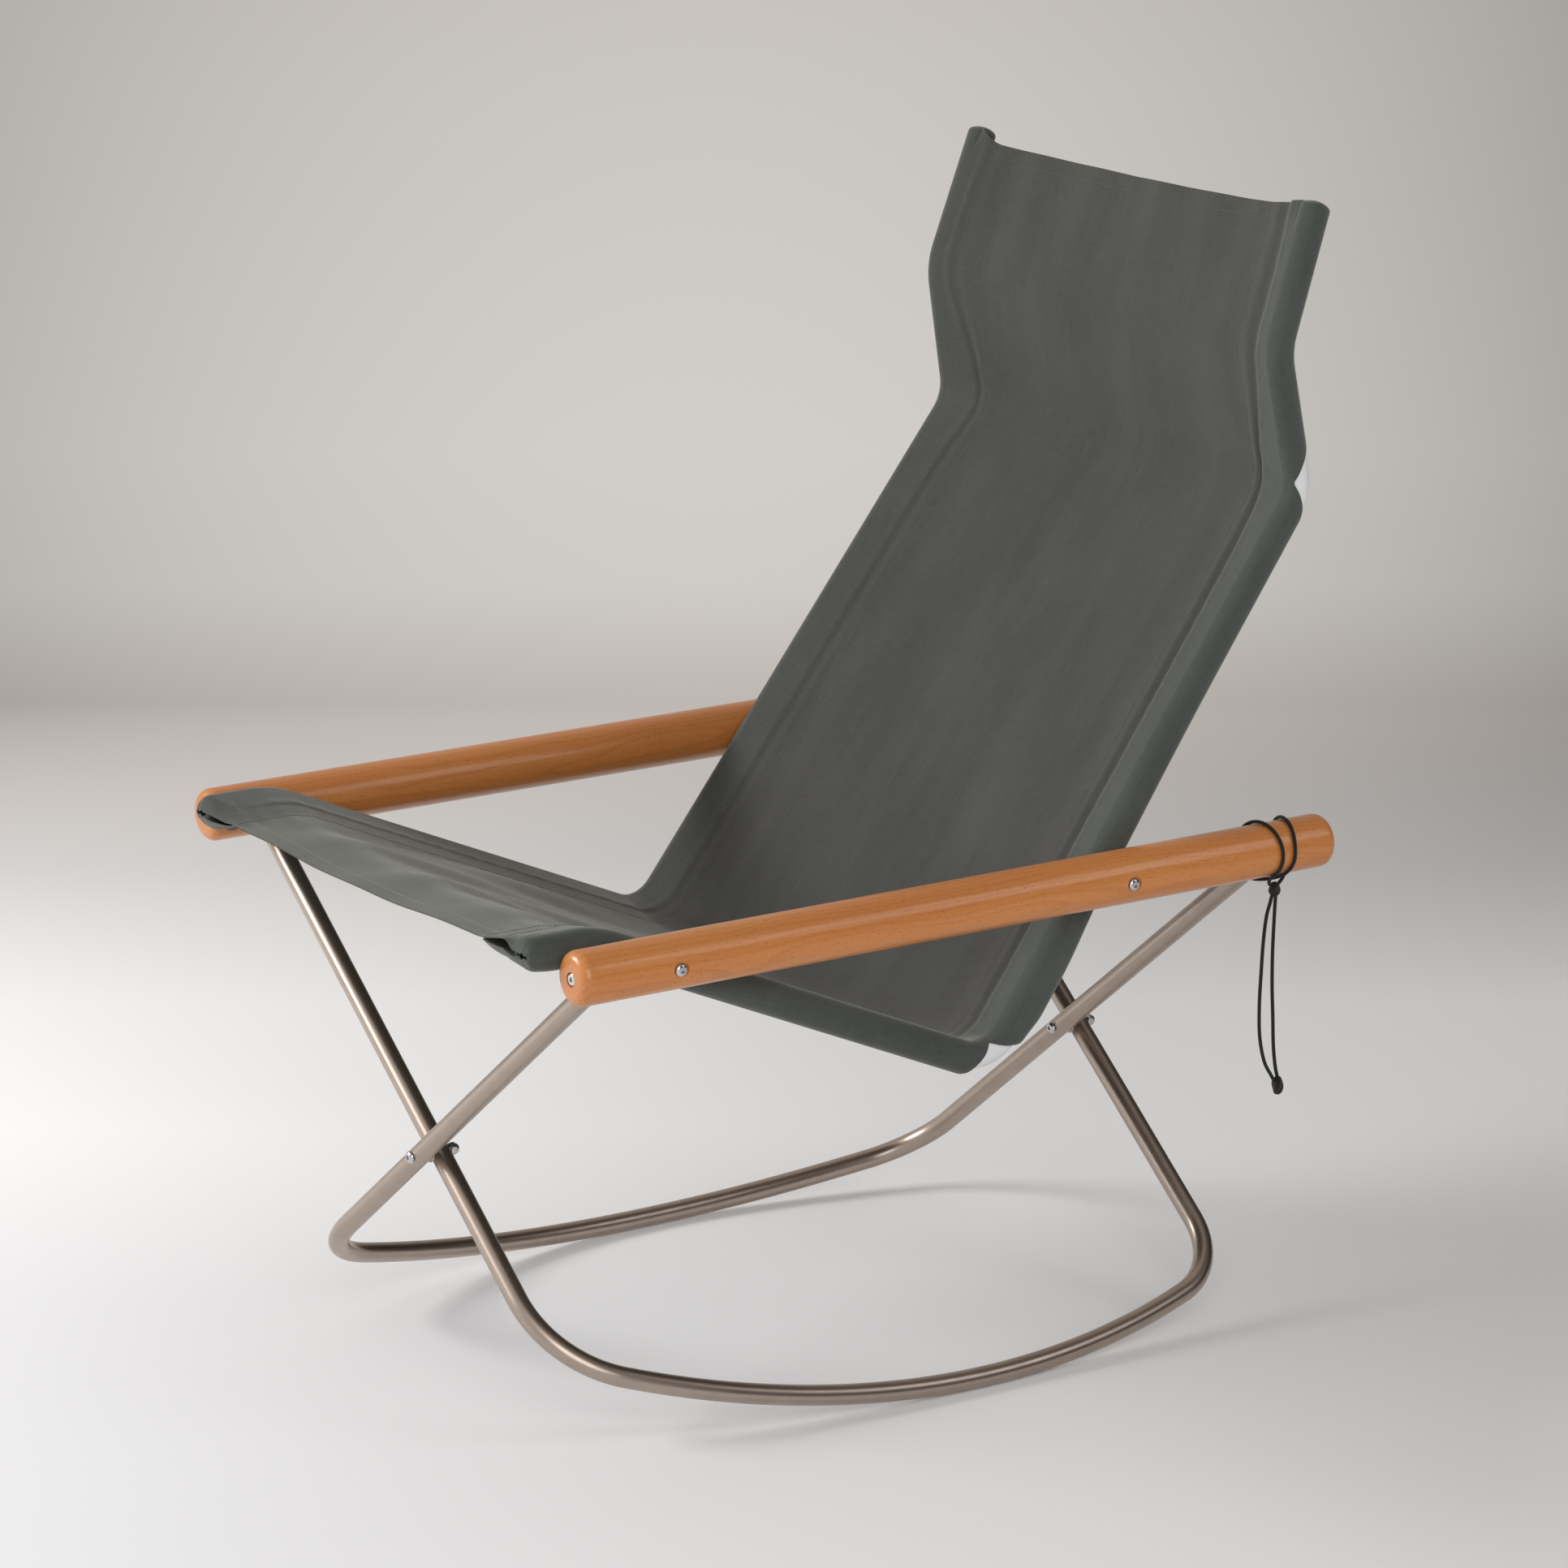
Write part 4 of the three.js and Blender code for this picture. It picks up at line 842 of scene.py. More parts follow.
PLUG_RADIUS = 0.00847
PLUG_LENGTH = 0.012
PLUG_CAP = 0.0023
PLUG_ROUND = 0.001
RIM_GAP = 0.0003
side_line = rounded(SIDE_FRONT, SIDE_CORNERS, SIDE_TOP)
for side, word in SIDES:
    distance, flat, slope = follow(side_line, SIDE_STEP)
    spot = beside(side, 0, 0, flat, slope)
    normal = unit(beside(side, 0, 1, flat, slope) - spot)
    binormal = unit(np.cross(np.gradient(spot, axis=0), normal))
    grid = tube_grid(spot, normal, binormal, distance, SIDE_RADIUS, SIDE_WALL, SIDE_SIDES)
    tube = make_piece(f"side_tube_bent_{word}", [grid], white_paint)
    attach(tube, f"{word}_arm")
    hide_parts(f"side_tube_{word}")
    for end, row, inner in (("front", 0, 1), ("top", -1, -2)):
        edge = PLUG_CAP - PLUG_ROUND
        plug = turned_piece(
            f"tube_plug_turned_{word}_{end}",
            [(-PLUG_LENGTH, 0), (-PLUG_LENGTH, PLUG_RADIUS - 0.0006), (0.001 - PLUG_LENGTH, PLUG_RADIUS),
             (RIM_GAP, PLUG_RADIUS), (RIM_GAP, SIDE_RADIUS), (edge, SIDE_RADIUS),
             *[(edge + PLUG_ROUND * np.sin(a), SIDE_RADIUS - PLUG_ROUND + PLUG_ROUND * np.cos(a))
               for a in np.linspace(0.3, np.pi / 2, 5)], (PLUG_CAP, 0)],
            spot[row], spot[row] - spot[inner], black_plastic,
        )
        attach(plug, f"{word}_arm")
        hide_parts(f"side_tube_plug_{word}_{end}")


# Sling: one cut of washed cotton canvas. Its long edges are folded round the side tubes and
# sewn back 56 mm in, which leaves a sleeve on each tube, cut open behind the two bends.
CLOTH = 0.0011
CLOTH_CREASE = 50
SLEEVE_RADIUS = 0.0125
SLEEVE_MOUTH = 0.010
MOUTH_CLOSE = 0.0095
MOUTH_LEVEL = -0.002
MOUTH_GAP = 0.16
SEAM_INSET = 0.056
SEAM_U = 0.19
CHANNEL_SEAM = 0.224
HEM_SHORT = 0.004
HEM_WIDTH = 0.016
POCKET_TOP = 0.0016
POCKET_DOME = 0.0062
SAG_AT_HEMS = 0.005
SAG_AT_MIDDLE = 0.012
NOTCHES = {"seat": (0.001, 0.026, np.radians(138)), "neck": (0.009, 0.036, np.radians(132))}
ROW_STEP, OPENING_STEP, LEAST_STEP = 0.0042, 0.0014, 0.0004
FRONT_ROWS, FRONT_STEP = 0.024, 0.001
TANGENT = np.arcsin(SLEEVE_RADIUS / SEAM_INSET)
FLAP = SEAM_INSET * np.cos(TANGENT)

head_way = unit(side_line[-1] - np.array(SIDE_CORNERS[-1][0]))
cloth_line = np.concatenate([
    [side_line[0] - (SLEEVE_MOUTH, 0)], side_line, [side_line[-1] + POCKET_TOP * head_way],
])
even_run, even_spot, _ = follow(cloth_line, 0.001)
cloth_length = even_run[-1]
hem_run = cloth_length - POCKET_TOP - HEM_SHORT
notches = []
for (corner, _), (onward, half, angle) in zip(SIDE_CORNERS[1:3], NOTCHES.values()):
    middle = even_run[np.argmin(np.linalg.norm(even_spot - np.array(corner), axis=1))] + onward
    notches.append((middle, half, angle))
cloth_run = np.unique(np.round(np.concatenate([
    np.arange(0, cloth_length, ROW_STEP), np.arange(0, FRONT_ROWS, FRONT_STEP), [hem_run, cloth_length],
    *(middle + np.arange(-half - 0.002, half + 0.0021, OPENING_STEP) for middle, half, _ in notches),
]), 5))
cloth_run = cloth_run[np.diff(cloth_run, prepend=-1) > LEAST_STEP]
cloth_run[-1] = cloth_length


def on_line(s):
    """The place and the unit direction of the side tube's line at each distance s."""
    spot, ahead, before = (
        np.stack([np.interp(s + shift, even_run, column) for column in even_spot.T], -1)
        for shift in (0, 0.002, -0.002)
    )
    return spot, unit(ahead - before)


def ease(value, low, high):
    """0 below low, 1 above high, and a smooth step between."""
    share = np.clip((value - low) / (high - low), 0, 1)
    return share * share * (3 - 2 * share)


def bell(value, middle, width):
    """1 at the middle, falling off as exp(-(distance / width)^2)."""
    return np.exp(-(((value - middle) / width) ** 2))


def wrinkle(u, s):
    """How far the cloth stands out at u across and s along: a sharp ridge and a groove beside
    it where the sleeve is sewn next to the tube, a small ridge at the turned-in edge, puckers,
    slow waves, long soft folds in the seat, and thicker hems."""
    d = np.abs(u) - SEAM_U
    channel = np.abs(u) - CHANNEL_SEAM
    inside = ease(-d, -0.004, 0.02)
    wander = 0.02 * np.sin(9 * s) + 0.012 * np.sin(23 * s + 1)
    back_rest = ease(s, 0.40, 0.55)
    ridge = 0.0005 * bell(d, 0.001, 0.0026) + 0.0011 * bell(channel, 0, 0.0020) * ease(s, 0.02, 0.06)
    trough = np.where(u > 0, 0.0034, 0.0012) * (0.12 + 0.88 * back_rest) * ease(s, 0.02, 0.10)
    groove = -trough * bell(channel, -0.0085, 0.0065)
    wavy = np.sin(2 * np.pi * (s + wander) / 0.021)
    pucker = 0.0003 * wavy * (np.exp(-np.abs(d) / 0.012) + np.exp(-np.abs(channel) / 0.007))
    slow = 0.0011 * np.sin(2 * np.pi * (u / 0.17 + s / 0.62)) * np.sin(2 * np.pi * (s / 0.35 - u / 0.5))
    seat = ease(s, 0.01, 0.10) * (1 - ease(s, 0.30, 0.44)) * inside
    lines = (np.sin(2 * np.pi * (u / 0.105 + s / 0.36 + 3 * wander))
             + 0.6 * np.sin(2 * np.pi * (u / 0.062 - s / 0.7 + 4 * wander) + 1.2))
    head = ease(s, cloth_length - 0.13, cloth_length - 0.01) * inside
    drape = 0.0013 * np.sin(2 * np.pi * (u / 0.085 + 2 * wander)) * head
    hems = 0.0007 * (1 - ease(s, HEM_WIDTH - 0.001, HEM_WIDTH + 0.001))
    hems = hems + 0.0007 * ease(s, hem_run - HEM_WIDTH - 0.001, hem_run - HEM_WIDTH + 0.001)
    return ridge + groove + pucker + slow * inside + 0.0016 * lines * seat + drape + hems * inside


def opening(s):
    """Half the angle of each opening behind the tube: angle * (share left of its half)^0.75."""
    return sum(angle * np.clip(1.04 * (1 - np.abs(s - middle) / half), 0, 1) ** 0.75
               for middle, half, angle in notches)


def mouth(s, wing=1.0):
    """How far the front end is shut: 1 at its edge and 0 further on, a quarter ellipse that is
    longer beside the tube than in front of it."""
    length = MOUTH_CLOSE * (1 + 0.9 * (1 - ease(wing, 0.55, 0.92)))
    return 1 - np.sqrt(1 - (1 - np.clip(s / length, 0, 1)) ** 2)


def around_tube(s, angle):
    """Where the sleeve lies round the tube: outwards, and towards the sitter. It hangs a
    little loose behind and below, its front end closes like the end of a bag, and its top
    is a low dome."""
    seat_end = notches[0][0]
    behind = ease(np.cos(angle), 0.3, -0.9)
    loose = 0.0036 * ease(s, 0.01, 0.05) * (1 - ease(s, 0.55, 0.82)) + 0.0040 * bell(s, 0.019, 0.022)
    past_bend = ease(s, seat_end + 0.02, seat_end + 0.05) * (1 - ease(s, seat_end + 0.08, 0.62))
    loose = loose + 0.0035 * past_bend
    slack = loose * behind * (1 - ease(opening(s), 0.3, 1.6)) - 0.0003
    above = np.clip(s - cloth_length, 0, None) / POCKET_DOME
    radius = (SLEEVE_RADIUS + slack) * np.sqrt(np.clip(1 - above**2, 0, 1))
    shut = mouth(s)
    crease = 0.0009 * np.sin(7 * angle + 1) * shut
    out = radius * np.sin(angle) * (1 - 0.36 * shut)
    up = radius * np.cos(angle) * (1 - (1 - MOUTH_GAP) * shut) + MOUTH_LEVEL * shut + crease
    return out, up


def top_rise(side, inboard):
    """How far the top hem climbs towards the pocket, in metres, at a distance inboard."""
    left = 0.004 * bell(inboard, 0, 0.130) + 0.0065 * bell(inboard, 0, 0.032)
    right = 0.0108 * np.exp(-((np.abs(inboard) / 0.022) ** 2.7))
    return np.where(side > 0, left, right)


def shut_wing(side, wing, s):
    """How far the mouth is shut at a share of the way from the seam to the tube: beside the
    tube on the left, and along the whole way on the right."""
    start, end = (0.56, 0.80) if side > 0 else (0.0, 0.35)
    return mouth(s, wing) * ease(wing, start, end)


def channel_share(s):
    """Where the sleeve's seam lies, as a share of the way from the panel to the tube: half
    way along the seat and back, further in at the neck and nearer the tube at the head."""
    neck = notches[1][0]
    share = 0.50 + 0.24 * ease(s, neck + 0.02, neck + 0.13) - 0.10 * ease(s, neck + 0.16, cloth_length)
    return share - 0.17 * bell(s, neck + 0.005, 0.05)


def panel_point(u, s):
    """The panel's face at u across and s along: a shallow bowl between the seams, and from
    each seam a straight rise to where the cloth meets the top of the sleeve."""
    spot, way = on_line(s)
    half = SIDE_X - spot[..., 1] * np.sin(SIDE_LEAN)
    side = np.where(u < 0, -1.0, 1.0)
    across = np.clip(np.abs(u) / SEAM_U, 0, 1)
    wing = np.clip((np.abs(u) - SEAM_U) / FLAP, 0, 1)
    seam = (CHANNEL_SEAM - SEAM_U) / FLAP
    beyond = channel_share(s) + (wing - seam) / (1 - seam) * (1 - channel_share(s))
    wing = np.where(wing < seam, wing / seam * channel_share(s), beyond)
    tip_out, tip_up = around_tube(s, -TANGENT)
    inboard = SEAM_INSET + tip_out
    dx = np.where(wing > 0, inboard * wing - SEAM_INSET, (half - SEAM_INSET) * across - half)
    climb = top_rise(side, dx) * ease(s, hem_run - 0.05, hem_run)
    full = SLEEVE_RADIUS * np.cos(TANGENT)
    shut = np.where(side > 0, shut_wing(1, wing, s), shut_wing(-1, wing, s))
    open_up = np.where(s < 2 * MOUTH_CLOSE, full, tip_up) * wing
    rise = open_up * (1 - (1 - MOUTH_GAP) * shut) + MOUTH_LEVEL * shut
    sag = SAG_AT_HEMS + (SAG_AT_MIDDLE - SAG_AT_HEMS) * np.sin(np.pi * s / cloth_length)
    over = np.clip((climb - (cloth_length - hem_run)) / POCKET_DOME, 0, 0.95)
    n = np.where(wing > 0, rise * np.sqrt(1 - over**2), -sag * (1 - across**2)) + wrinkle(u, s)
    return beside(side, dx, n, spot, way, climb)


def flap_point(side, wing, s):
    """The layer behind, from the seam (wing 0) to the back of the sleeve (wing 1), less the
    opening. At the front it comes up to the panel, and behind that it hangs in a belly."""
    spot, way = on_line(s)
    gone = np.clip(SLEEVE_RADIUS * (opening(s) - TANGENT), 0, FLAP) / FLAP
    share = wing * (1 - gone)
    tip_out, tip_up = around_tube(s, np.pi + TANGENT)
    shut = mouth(s, share)
    lip = shut_wing(side, share, s)
    deep, peak = (0.0060, 0.38) if side > 0 else (0.0045, 0.72)
    bulge = np.sin(np.pi * share ** (np.log(0.5) / np.log(peak)))
    droop = deep * bulge * (1 - shut) * np.exp(-((s / 0.034) ** 2))
    flat = np.where(s < 2 * MOUTH_CLOSE, -SLEEVE_RADIUS * np.cos(TANGENT), tip_up) * share * (1 - shut)
    closed = flat + (MOUTH_LEVEL - SLEEVE_RADIUS * MOUTH_GAP * share) * lip - 0.0006 * shut
    blend = ease(share, 0.8, 1)
    n = (closed - 0.0018 * (1 - share) - droop) * (1 - blend) + tip_up * blend
    forward = 0.0025 * bulge * np.exp(-((s / 0.02) ** 2))
    return beside(side, (SEAM_INSET + tip_out) * share - SEAM_INSET, n, spot, way, -forward)


WEAVE_PITCH = 0.0009


def cloth_group():
    """Plain weave from two crossing waves, with slubs along both threads, slow washed-out
    patches, a cooler, lighter band beyond the sleeve's seam and paler lines along the seams,
    partly wear and partly a painted highlight where the seam ridges catch the light. Band and
    lines are full at the sitter's left and weak at the right: painted light on the left sleeve
    and painted shade on the right one."""
    group, given, result = add_group(
        "washed_canvas",
        [("Place", "Vector", None), ("Edge", "Float", SEAM_U), ("Channel", "Float", CHANNEL_SEAM),
         ("Body", "Color", None), ("Band", "Color", None), ("Worn and highlit", "Color", None)],
        [("Colour", "Color"), ("Roughness", "Float"), ("Height", "Float")],
    )
    place = given["Place"]
    across, along, _ = add(group, "SeparateXYZ", {0: place}).outputs
    warp, weft = (calc(group, "SINE", calc(group, "MULTIPLY", way, 2 * np.pi / WEAVE_PITCH))
                  for way in (across, along))
    slub = calc(group, "ADD", noise(group, place, 1.0, 3.0, stretch=(900.0, 50.0, 1.0)),
                noise(group, place, 1.0, 3.0, stretch=(50.0, 900.0, 1.0)))
    streak = noise(group, place, 1.0, 5.0, stretch=(26.0, 4.5, 1.0), Roughness=0.6, Distortion=0.6)
    patch = noise(group, place, 9.0, 4.0)
    # Painted light and shade by side: the band and the pale lines are full at the sitter's left and a
    # quarter as strong at the right, which paints the right sleeve darker.
    lit_side_share = calc(group, "MULTIPLY_ADD", calc(group, "GREATER_THAN", across, 0.0), 0.75, 0.25)
    outward = calc(group, "ABSOLUTE", across)
    past_seam, past_edge = (calc(group, "SUBTRACT", outward, given[name]) for name in ("Channel", "Edge"))
    seam, edge = (
        ramp(group, calc(group, "MULTIPLY", calc(group, "ABSOLUTE", past), 420.0), (0.2, 1), (0.8, 0))
        for past in (past_seam, past_edge)
    )
    band = ramp(group, calc(group, "MULTIPLY_ADD", past_seam, 40.0, 0.5), (0.42, 0), (0.58, 1))
    tone = mix(group, calc(group, "MULTIPLY", band, lit_side_share), given["Body"], given["Band"])
    # Pale lines on the seam and the turned-in edge: partly wear, partly a painted highlight on the ridges
    # there.
    wear_and_highlight = calc(group, "MULTIPLY", calc(group, "MULTIPLY_ADD", edge, 0.35, seam), lit_side_share)
    wear_and_highlight = calc(group, "MULTIPLY", wear_and_highlight, calc(group, "MULTIPLY_ADD", streak, 1.3, -0.2))
    shade = calc(group, "MULTIPLY_ADD", slub, 0.40, 0.60)
    shade = calc(group, "MULTIPLY_ADD", streak, 0.48, calc(group, "SUBTRACT", shade, 0.24))
    shade = calc(group, "MULTIPLY_ADD", patch, 0.42, calc(group, "SUBTRACT", shade, 0.21))
    shaded = add(group, "VectorMath", {0: tone, "Scale": shade}, operation="SCALE").outputs[0]
    weave = calc(group, "MULTIPLY", warp, weft)
    wire(group, result, {
        "Colour": mix(group, calc(group, "MULTIPLY", wear_and_highlight, 0.55, clamp=True), shaded, given["Worn and highlit"]),
        "Roughness": calc(group, "MULTIPLY_ADD", patch, 0.1, 0.84),
        "Height": calc(group, "MULTIPLY_ADD", weave, 0.35, calc(group, "MULTIPLY", slub, 0.8)),
    })
    return group


washed_canvas = cloth_group()
canvas, tree, shader = new_material("washed_canvas_grey")
# Band and the pale seam colour are painted light where they are strong, at the sitter's left; the right
# sleeve keeps more of Body, a painted shade.
cloth = add(tree, "Group", {
    "Place": coordinates(tree, "UV"), "Body": paint(77, 77, 74), "Band": paint(80, 85, 82),
    "Worn and highlit": paint(112, 110, 100),
}, node_tree=washed_canvas).outputs
wire(tree, shader, {
    "Base Color": cloth["Colour"], "Roughness": cloth["Roughness"],
    "Normal": bump(tree, cloth["Height"], 0.00025, 0.6), "Specular IOR Level": 0.2,
    "Sheen Weight": 0.45, "Sheen Roughness": 0.4, "Sheen Tint": (0.9, 0.9, 0.82, 1),
})


def solid_cloth(piece):
    """Gives a sheet the cloth's thickness, inward from its face, with a Solidify modifier."""
    change = piece.modifiers.new("thickness", "SOLIDIFY")
    change.thickness, change.offset, change.use_even_offset = CLOTH, -1.0, False
    apply_modifiers(piece, CLOTH_CREASE)


def sleeve_grids(side):
    """The sleeve in three strips. The first runs from where the cloth leaves the tube on the
    sitter's side, round the outside, to the middle of the back or the edge of an opening. The
    second goes on from there to where the panel's layer behind sets off. The third closes the
    sleeve on its inboard side, between the panel's two layers."""
    dome = cloth_length + POCKET_DOME * np.sin(np.linspace(0, np.pi / 2, 9)[1:])
    s = np.concatenate([cloth_run, dome])[:, None]
    edge, close = np.pi - opening(s), np.pi + TANGENT
    strips = [
        (s, -TANGENT, edge, 37),
        (s, np.minimum(2 * np.pi - edge, close), close, 7),
        (s, np.maximum(close, 2 * np.pi - edge), 2 * np.pi - TANGENT, 25),
    ]
    grids = []
    for rows, first, last, count in strips:
        angle = first + (last - first) * np.linspace(0, 1, count)[None]
        angle = np.broadcast_to(angle, (len(rows), count))
        out, up = around_tube(rows, angle)
        spot, way = on_line(np.minimum(rows, cloth_length))
        onward = np.clip(rows - cloth_length, 0, None)
        u = SEAM_U + FLAP + SLEEVE_RADIUS * (angle + TANGENT)
        grids.append((beside(side, out, up, spot, way, onward), side * u, rows))
    return grids


for side, word in SIDES:
    sleeve = make_piece(f"canvas_sleeve_{word}", sleeve_grids(side), canvas, outward=False, flip=side < 0)
    solid_cloth(sleeve)
    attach(sleeve, f"{word}_arm")
    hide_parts(f"sling_sleeve_{word}")

WING_SHARES = np.linspace(0, 1, 18)
panel_run = cloth_run[cloth_run <= hem_run + 1e-5][:, None]
wing_u = SEAM_U + FLAP * WING_SHARES
panel_u = np.concatenate([-wing_u[::-1], SEAM_U * np.linspace(-1, 1, 45)[1:-1], wing_u])[None]
grids = [(panel_point(panel_u, panel_run), panel_u, panel_run)]
for side, _ in SIDES:
    wing = WING_SHARES[None, ::-1] if side > 0 else WING_SHARES[None]
    u = SEAM_U + 2 * FLAP + SLEEVE_RADIUS * (np.pi + 2 * TANGENT) - FLAP * wing
    grids.append((flap_point(side, wing, panel_run), side * u, panel_run))
panel = make_piece("canvas_panel", grids, canvas, outward=False)
solid_cloth(panel)
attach(panel, "left_arm")
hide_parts("sling_panel")
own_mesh(panel)


# Stitching: grey thread, two rows beside each tube, one along each turned-in edge and one along
# each hem. Each stitch is a short capsule half sunk in the canvas.
STITCH_LENGTH = 0.0030
STITCH_PITCH = 0.0038
STITCH_RADIUS = 0.00032
ROW_GAP = 0.0042
SEAM_EDGE = 0.0015
HEM_EDGE = 0.0025


def stitches(u, s, along_s):
    """Capsules on the panel at each (u, s), laid along s or along u:
    middle + long * cos a + radius * sin a * (cos b, sin b)."""
    middle = panel_point(u, s)
    step = 0.001
    length_way = panel_point(u, s + step) - middle
    cross_way = panel_point(u + step, s) - middle
    if not along_s:
        length_way, cross_way = cross_way, -length_way
    length_way = unit(length_way)
    normal = unit(np.cross(cross_way, length_way))
    cross_way = np.cross(length_way, normal)
    polar = np.linspace(0, np.pi, 6)[:, None, None]
    turn = np.linspace(0, 2 * np.pi, 7)[None, :, None]
    long_part, cross_part, up_part = (part[:, None, None] for part in (length_way, cross_way, normal))
    points = (middle[:, None, None] + 0.5 * STITCH_LENGTH * np.cos(polar) * long_part
              + STITCH_RADIUS * np.sin(polar) * (np.cos(turn) * cross_part + np.sin(turn) * up_part))
    return points, turn[..., 0] * STITCH_RADIUS, polar[..., 0] * STITCH_LENGTH


thread, tree, shader = new_material("grey_thread")
twist = add(tree, "TexWave", {"Vector": coordinates(tree, "UV"), "Scale": 900.0}).outputs[0]
wire(tree, shader, {
    "Base Color": ramp(tree, twist, (0.0, paint(86, 87, 81)), (1.0, paint(112, 111, 103))),
    "Roughness": 0.8,
})

rows = []
seam_s = np.arange(0.004, hem_run - 0.003, STITCH_PITCH)
for side, _ in SIDES:
    for u in (CHANNEL_SEAM - 0.5 * ROW_GAP, CHANNEL_SEAM + 0.5 * ROW_GAP, SEAM_U + SEAM_EDGE):
        rows.append(stitches(np.full(len(seam_s), side * u), seam_s, True))
hem_u = np.arange(-SEAM_U + 0.006, SEAM_U - 0.005, STITCH_PITCH)
for s in (HEM_WIDTH - HEM_EDGE, hem_run - HEM_WIDTH + HEM_EDGE):
    rows.append(stitches(hem_u, np.full(len(hem_u), s), False))
sewing = make_piece("sling_stitches", rows, thread)
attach(sewing, "left_arm")
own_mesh(sewing)


# Tie cord: a black elastic cord, 3 mm thick, wound twice round the left arm behind its rear
# leg and knotted below. Two tails hang to an end knot.
CORD_RADIUS = 0.0015
WRAP_RADIUS = 0.0238
WINDING = np.array([
    [16, -4.5, 6], [20, -9, 4], [30, -10.5, 1], [60, -7, 0], [100, -6.5, 0], [180, -12, 0],
    [240, -17, 0], [290, -19, 0], [335, -19, 0], [352, -16.5, 0], [367, -11, 0],
    [380, -4.5, 0], [400, 2, 0], [430, 5.5, 0], [470, 6.5, 0], [540, 12, 0],
    [600, 17, 0], [650, 19, 0], [700, 18.5, 0], [722, 13, 0], [733, 6, 3], [737, 0, 6],
])
FRONT_TAIL = np.array([
    [9, -5, 35], [9, -7, 42], [9, -10.3, 52], [9, -13.2, 72], [9, -15, 100], [9, -16.2, 128],
    [9, -15, 156], [9, -9.5, 178], [9, -2.5, 190], [9, 0.8, 195.5],
])
REAR_TAIL = np.array([
    [9, -1.5, 35], [9, -2, 42], [9.3, -3, 58], [9.7, -4.2, 85], [10, -4.2, 113],
    [10, -2.8, 140], [9.6, -1.2, 166], [9.2, 1.6, 184], [9, 4.8, 195.5],
])
KNOT = (9, -3, -31.6)
KNOT_SIZE = (0.0095, 0.012)
END_KNOT = (9, 4.3, -199.5)
END_KNOT_SIZE = (0.0092, 0.0158)
BRAID_ROUND, BRAID_ALONG = 0.00118, 0.0016
MM = 0.001
cord_origin = arm_place["left"] + np.array([0, LEG_PITCH, 0])


def smooth_line(points, steps):
    """A Catmull-Rom curve through points, with knots spaced by the root of their distance."""
    ends = np.concatenate([[2 * points[0] - points[1]], points, [2 * points[-1] - points[-2]]])
    p = np.stack([ends[:-3], ends[1:-2], ends[2:-1], ends[3:]])[:, :, None]
    gap = np.sqrt(np.linalg.norm(np.diff(p, axis=0), axis=-1, keepdims=True))
    k = np.concatenate([np.zeros_like(gap[:1]), np.cumsum(gap, 0)])
    t = k[1] + (k[2] - k[1]) * np.linspace(0, 1, steps, endpoint=False)[None, :, None]

    def between(a, b, ka, kb):
        return ((kb - t) * a + (t - ka) * b) / (kb - ka)

    first = [between(p[i], p[i + 1], k[i], k[i + 1]) for i in range(3)]
    second = [between(first[i], first[i + 1], k[i], k[i + 2]) for i in range(2)]
    curve = between(second[0], second[1], k[1], k[2])
    return np.concatenate([curve.reshape(-1, points.shape[1]), points[-1:]])


def cord_grid(line):
    """A round cord along a line. The frame is carried along it by projecting the last one."""
    tangent = unit(np.gradient(line, axis=0))
    normal = np.zeros_like(line)
    start = np.cross(tangent[0], (0, 0, 1) if abs(tangent[0, 2]) < 0.9 else (0, 1, 0))
    for row, way in enumerate(tangent):
        start = unit(start - way * (start @ way))
        normal[row] = start
    order = np.r_[0, np.arange(len(line)), len(line) - 1]
    size = np.r_[0, np.full(len(line), CORD_RADIUS), 0]
    points, angle = rings(line, normal, np.cross(tangent, normal), order, size, 14)
    return points, angle * CORD_RADIUS, run_along(line)[order][:, None]


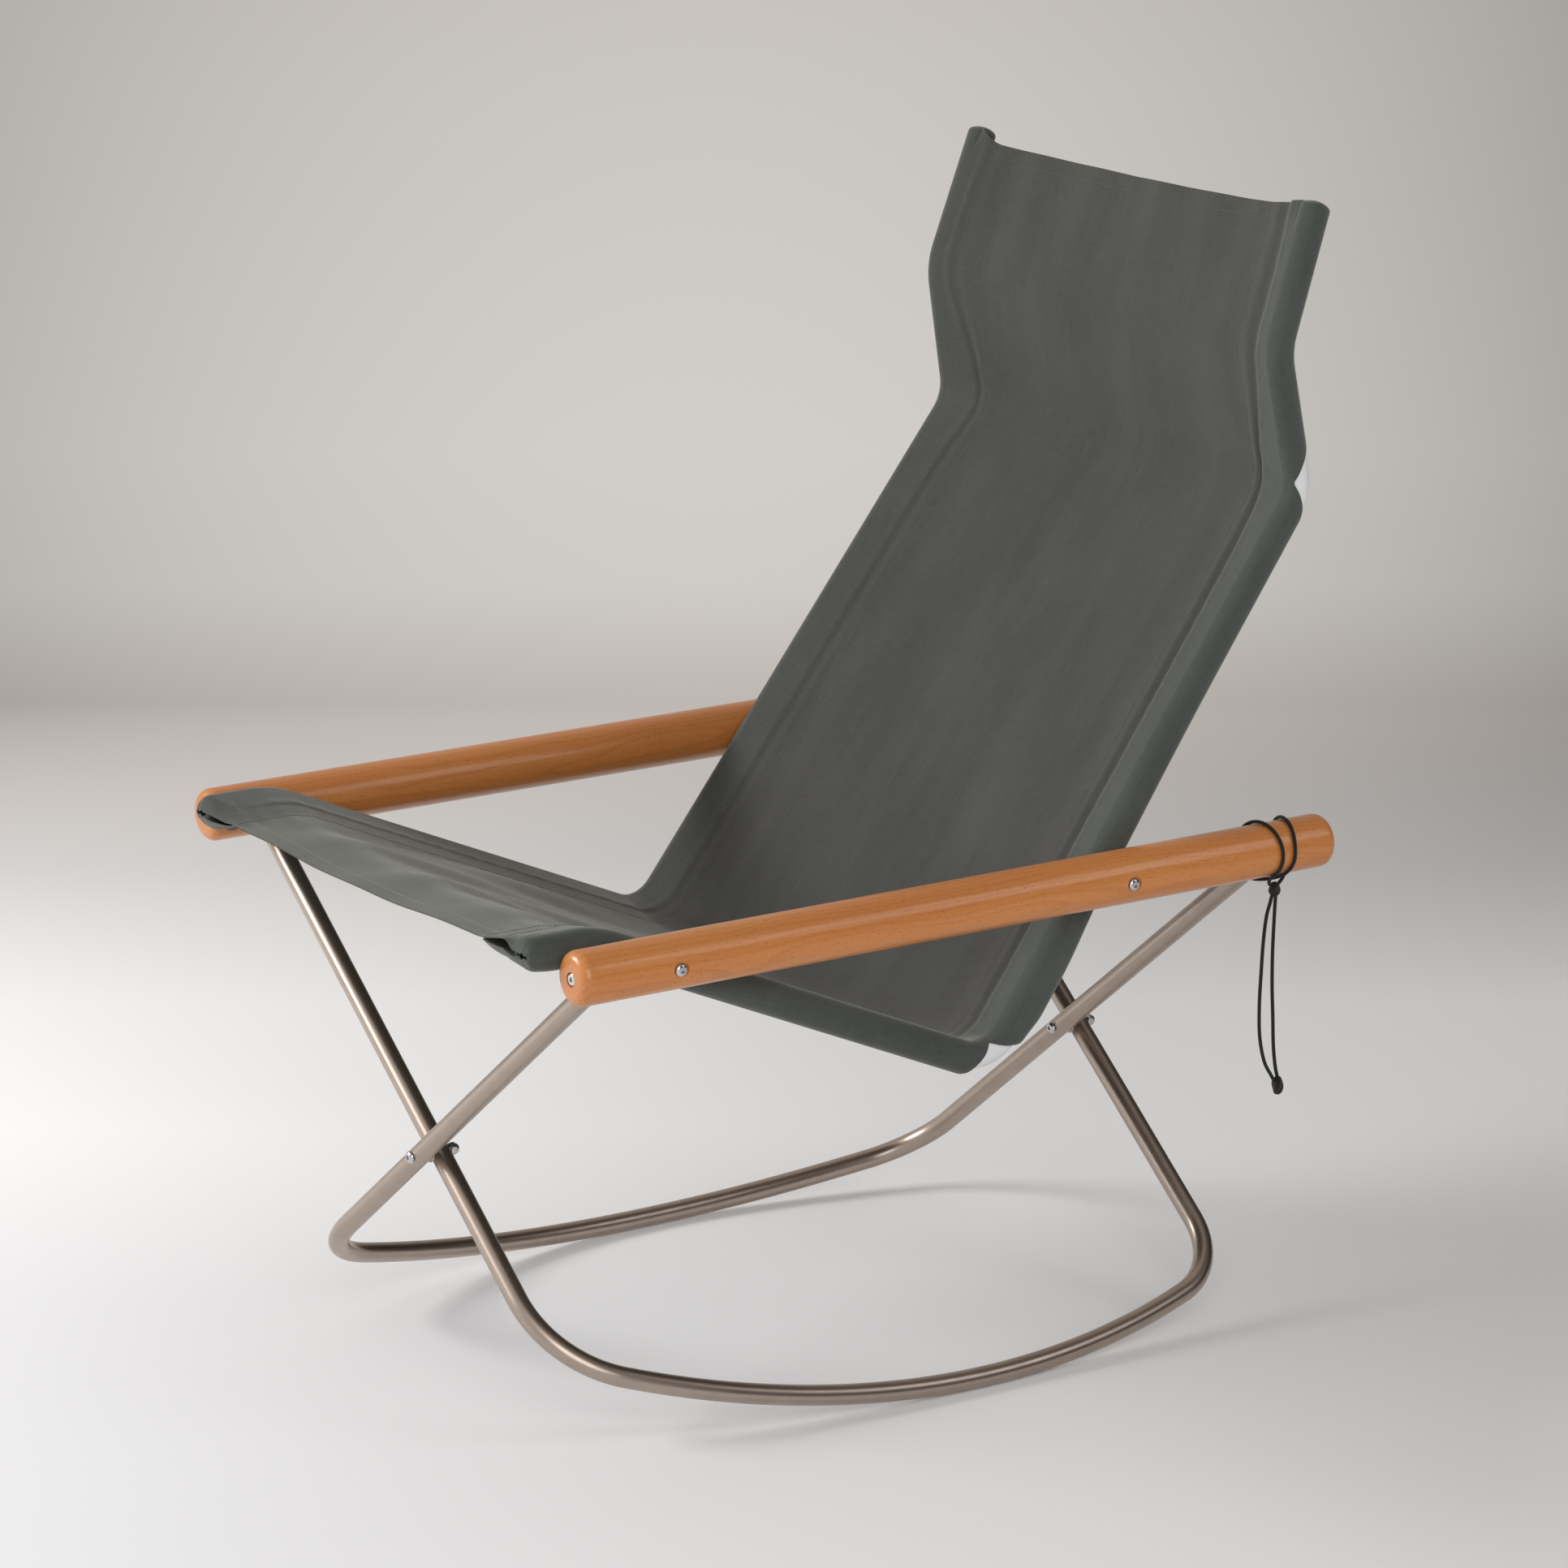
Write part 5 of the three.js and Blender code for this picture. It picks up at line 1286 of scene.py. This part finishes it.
elastic, tree, shader = new_material("black_elastic")
around, along, _ = add(tree, "SeparateXYZ", {0: coordinates(tree, "UV")}).outputs
along = calc(tree, "MULTIPLY", along, 2 * np.pi / BRAID_ALONG)
strands = [calc(tree, "SINE", calc(tree, "MULTIPLY_ADD", around, turns * 2 * np.pi / BRAID_ROUND, along))
           for turns in (4, -4)]
braid = calc(tree, "MULTIPLY", *strands)
shine = calc(tree, "MULTIPLY_ADD", braid, 0.5, 0.5)
wire(tree, shader, {
    "Base Color": ramp(tree, shine, (0.0, paint(9, 8, 7)), (1.0, paint(27, 24, 22))),
    "Roughness": calc(tree, "MULTIPLY_ADD", braid, 0.08, 0.5),
    "Normal": bump(tree, braid, 0.0002, 0.7), "Sheen Weight": 0.05,
})

unrolled = WINDING * MM
unrolled[:, 0] = WRAP_RADIUS * np.radians(WINDING[:, 0])
flat_line = smooth_line(unrolled, 16)
turn = flat_line[:, 0] / WRAP_RADIUS
wrap = WRAP_RADIUS + flat_line[:, 2]
winding = cord_origin + np.stack([wrap * np.sin(turn), flat_line[:, 1], -wrap * np.cos(turn)], 1)
lines = {"winding": winding}
for name, route in (("tail_front", FRONT_TAIL), ("tail_rear", REAR_TAIL)):
    lines[name] = cord_origin + smooth_line(route * MM * (1, 1, -1), 12)


def knot_grid(centre, width, height, turns, lean):
    """A pulled knot: a lump whose radius swells along a winding groove that leans."""
    polar = np.linspace(0, np.pi, 33)[:, None]
    angle = np.linspace(0, 2 * np.pi, 49)[None]
    groove = 1 + 0.13 * np.cos(turns * (angle - lean * polar)) * np.sin(polar)
    radius = width / 2 * np.sin(polar) ** 0.8 * groove
    z = -height / 2 * np.cos(polar) + 0.0 * angle
    points = np.array(centre) + np.stack([radius * np.cos(angle), radius * np.sin(angle), z], -1)
    return points, angle * width / 2, polar * height / 2


knot, end_knot = (
    make_piece(name, [knot_grid(cord_origin + np.array(middle) * MM, *size, turns, lean)], elastic)
    for name, middle, size, turns, lean in (
        ("cord_knot_pulled", KNOT, KNOT_SIZE, 2, 1.1),
        ("cord_end_knot_pulled", END_KNOT, END_KNOT_SIZE, 3, 0.9),
    )
)
for name, line in lines.items():
    cord = make_piece(f"elastic_{name}", [cord_grid(line)], elastic)
    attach(cord, "left_arm")
    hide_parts(f"tie_cord_{name}")
    length = np.linalg.norm(np.diff(line, axis=0), axis=1).sum()
for piece, node in ((knot, "tie_cord_knot"), (end_knot, "tie_cord_end_knot")):
    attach(piece, "left_arm")
    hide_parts(node)

low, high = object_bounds()
